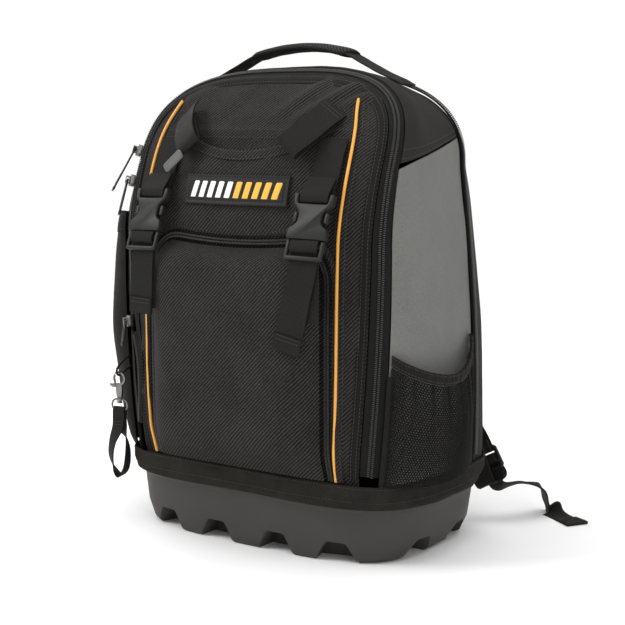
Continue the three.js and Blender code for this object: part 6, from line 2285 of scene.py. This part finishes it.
CLIP_AT = np.array([18 - bag_half_width, front_zip_y - 13.5, 149.5])
FOB_LINE = (
    ((0, -30.2, 0), (1, 0, 0)), ((0, -32.4, 2.3), (1, 0, 0)), ((-1, -41, 1.5), (1, 0, 0)),
    ((-2, -51, 1.5), (1, 0, 0.1)), ((-8, -66, 2), (0.85, 0, 0.5)), ((-10.5, -82, 2), (0.75, 0.1, 0.65)),
    ((-7, -97, 1), (0.5, -0.3, 0.8)), ((-1, -104, 0), (0.2, 0, 1)), ((5, -97, -1), (0.1, 0.2, 1)),
    ((7.5, -80, -2), (0.15, 0, 1)), ((6, -64, -2), (0.5, 0, 0.85)), ((1, -51, -1.5), (1, 0, 0.1)),
    ((0, -41, -1.5), (1, 0, 0)), ((0, -32.4, -2.3), (1, 0, 0)),
)


def clip_frame():
    out = unit(np.array([0.2, -0.98, 0.0]))
    return frame_at(CLIP_AT, (0, 0, 1), np.cross((0, 0, 1), out))


def sewn_at(z):
    return body_point(climb_to(float(z), 0.6, -1), 0.6, 1.5)


# Floor, light and camera


def area_light(name, place, target, size, power):
    light = bpy.data.lights.new(name, "AREA")
    light.shape = "RECTANGLE"
    light.size, light.size_y = size
    light.energy = power
    made = bpy.data.objects.new(name, light)
    bpy.context.scene.collection.objects.link(made)
    made.location = place
    made.rotation_euler = (Vector(target) - Vector(place)).to_track_quat("-Z", "Y").to_euler()
    return made


def make_stage():
    """A pale floor, soft lights and the camera."""
    mesh = bpy.data.meshes.new("floor")
    far = 1.5
    mesh.from_pydata([(-far, -far, 0), (far, -far, 0), (far, far, 0), (-far, far, 0)], [], [(0, 1, 2, 3)])
    mesh.materials.append(Surface("Pale floor", (0.96, 0.96, 0.96), 0.6, Specular_IOR_Level=0.1).material)
    floor = bpy.data.objects.new("floor", mesh)
    bpy.context.scene.collection.objects.link(floor)
    target = (0.0, 0.0, 0.22)
    lights = [
        area_light("key_light", (-1.7, -1.5, 2.2), target, (1.4, 1.2), 48),
        area_light("fill_light", (2.3, -1.2, 1.2), target, (1.6, 1.6), 12),
        area_light("top_light", (0.3, 0.0, 2.7), target, (3.0, 3.0), 62),
        area_light("edge_light", (-2.2, 0.9, 1.2), target, (1.2, 1.4), 14),
    ]
    world = bpy.data.worlds.new("Studio")
    world.use_nodes = True
    tree = world.node_tree
    background = tree.nodes["Background"]
    background.inputs["Color"].default_value = (1.0, 1.0, 1.0, 1.0)
    place = tree.nodes.new("ShaderNodeTexCoord")
    parts = tree.nodes.new("ShaderNodeSeparateXYZ")
    sky = tree.nodes.new("ShaderNodeMapRange")
    for socket, value in (("From Min", 0.1), ("From Max", 0.4), ("To Min", 1.02), ("To Max", 0.4)):
        sky.inputs[socket].default_value = value
    tree.links.new(place.outputs["Generated"], parts.inputs[0])
    tree.links.new(parts.outputs["Z"], sky.inputs["Value"])
    tree.links.new(sky.outputs["Result"], background.inputs["Strength"])
    bpy.context.scene.world = world
    bpy.context.scene.view_settings.view_transform = "Standard"
    bpy.context.scene.view_settings.look = "None"
    camera = bpy.data.cameras.new("camera")
    camera.lens = 79.5
    camera.sensor_width = 36.0
    camera.shift_x = 0.012
    camera.clip_end = 50.0
    seen_from = bpy.data.objects.new("camera", camera)
    bpy.context.scene.collection.objects.link(seen_from)
    azimuth = math.radians(35.0)
    seen_from.location = (1.416 * math.sin(azimuth), -1.416 * math.cos(azimuth), 0.415)
    down = math.radians(7.74)
    ahead = Vector((-math.sin(azimuth) * math.cos(down), math.cos(azimuth) * math.cos(down), -math.sin(down)))
    seen_from.rotation_euler = ahead.to_track_quat("-Z", "Y").to_euler()
    bpy.context.scene.camera = seen_from


# Operators, panel and main


class BACKPACK_OT_base(bpy.types.Operator):
    """Dresses the moulded base and the binding over its rim."""

    bl_idname = "backpack.base"
    bl_label = "Base and binding"

    def execute(self, context):
        make_base()
        make_binding()
        return {"FINISHED"}


class BACKPACK_OT_front_panel(bpy.types.Operator):
    """Dresses the coarse front cloth with its folds, welt and piping."""

    bl_idname = "backpack.front_panel"
    bl_label = "Front panel"

    def execute(self, context):
        make_front_panel()
        make_piping()
        return {"FINISHED"}


class BACKPACK_OT_sides(bpy.types.Operator):
    """Dresses the side cloths and the top."""

    bl_idname = "backpack.sides"
    bl_label = "Sides and top"

    def execute(self, context):
        make_sides()
        return {"FINISHED"}


class BACKPACK_OT_rear(bpy.types.Operator):
    """Dresses the rear compartment and the padded back."""

    bl_idname = "backpack.rear"
    bl_label = "Rear and back"

    def execute(self, context):
        make_rear()
        return {"FINISHED"}


class BACKPACK_OT_zips(bpy.types.Operator):
    """Dresses the closed zips and the open one with its lining."""

    bl_idname = "backpack.zips"
    bl_label = "Zips"

    def execute(self, context):
        make_body_zips()
        make_pocket_zip()
        make_open_zip()
        return {"FINISHED"}


class BACKPACK_OT_front_pockets(bpy.types.Operator):
    """Dresses the lower pocket, the slip pocket and the patch."""

    bl_idname = "backpack.front_pockets"
    bl_label = "Front pockets"

    def execute(self, context):
        make_front_pocket()
        make_slip_pocket()
        make_patch()
        return {"FINISHED"}


class BACKPACK_OT_side_pockets(bpy.types.Operator):
    """Dresses the net pocket and the sleeve pocket."""

    bl_idname = "backpack.side_pockets"
    bl_label = "Side pockets"

    def execute(self, context):
        make_net_pocket()
        make_sleeve_pocket()
        return {"FINISHED"}


class BACKPACK_OT_front_straps(bpy.types.Operator):
    """Dresses the front straps, their buckles and the webbing loops."""

    bl_idname = "backpack.front_straps"
    bl_label = "Front straps and loops"

    def execute(self, context):
        make_front_straps()
        make_webbing_loops()
        return {"FINISHED"}


class BACKPACK_OT_handle(bpy.types.Operator):
    """Dresses the carrying handle."""

    bl_idname = "backpack.handle"
    bl_label = "Handle"

    def execute(self, context):
        make_handle()
        return {"FINISHED"}


class BACKPACK_OT_shoulder_straps(bpy.types.Operator):
    """Dresses the shoulder straps and their webbing."""

    bl_idname = "backpack.shoulder_straps"
    bl_label = "Shoulder straps"

    def execute(self, context):
        make_shoulder_straps()
        return {"FINISHED"}


class BACKPACK_OT_hardware(bpy.types.Operator):
    """Dresses the sliders, their pulls and the clip."""

    bl_idname = "backpack.hardware"
    bl_label = "Sliders and clip"

    def execute(self, context):
        make_sliders()
        make_clip()
        return {"FINISHED"}


class BACKPACK_OT_stage(bpy.types.Operator):
    """Makes the floor, the lights and the camera."""

    bl_idname = "backpack.stage"
    bl_label = "Stage"

    def execute(self, context):
        make_stage()
        return {"FINISHED"}


class BACKPACK_PT_panel(bpy.types.Panel):
    """Sizes, colours and pieces of the backpack."""

    bl_idname = "BACKPACK_PT_panel"
    bl_label = "Work backpack"
    bl_space_type = "VIEW_3D"
    bl_region_type = "UI"
    bl_category = "Backpack"

    def draw(self, context):
        for group in (context.scene.backpack_sizes, context.scene.backpack_colours):
            box = self.layout.box()
            for name in group.__annotations__:
                box.prop(group, name)
        for operator in OPERATORS:
            self.layout.operator(operator.bl_idname)


OPERATORS = (
    BACKPACK_OT_base, BACKPACK_OT_front_panel, BACKPACK_OT_sides, BACKPACK_OT_rear, BACKPACK_OT_zips,
    BACKPACK_OT_front_pockets, BACKPACK_OT_side_pockets, BACKPACK_OT_front_straps, BACKPACK_OT_handle,
    BACKPACK_OT_shoulder_straps, BACKPACK_OT_hardware, BACKPACK_OT_stage,
)
CLASSES = (BackpackSizes, BackpackColours) + OPERATORS + (BACKPACK_PT_panel,)


def register():
    for one in CLASSES:
        bpy.utils.register_class(one)
    bpy.types.Scene.backpack_sizes = bpy.props.PointerProperty(type=BackpackSizes)
    bpy.types.Scene.backpack_colours = bpy.props.PointerProperty(type=BackpackColours)


def unregister():
    del bpy.types.Scene.backpack_sizes
    del bpy.types.Scene.backpack_colours
    for one in reversed(CLASSES):
        bpy.utils.unregister_class(one)


def main():
    register()
    surfaces.update(make_surfaces())
    for operator in OPERATORS:
        group, name = operator.bl_idname.split(".")
        getattr(getattr(bpy.ops, group), name)()


if __name__ == "__main__":
    main()
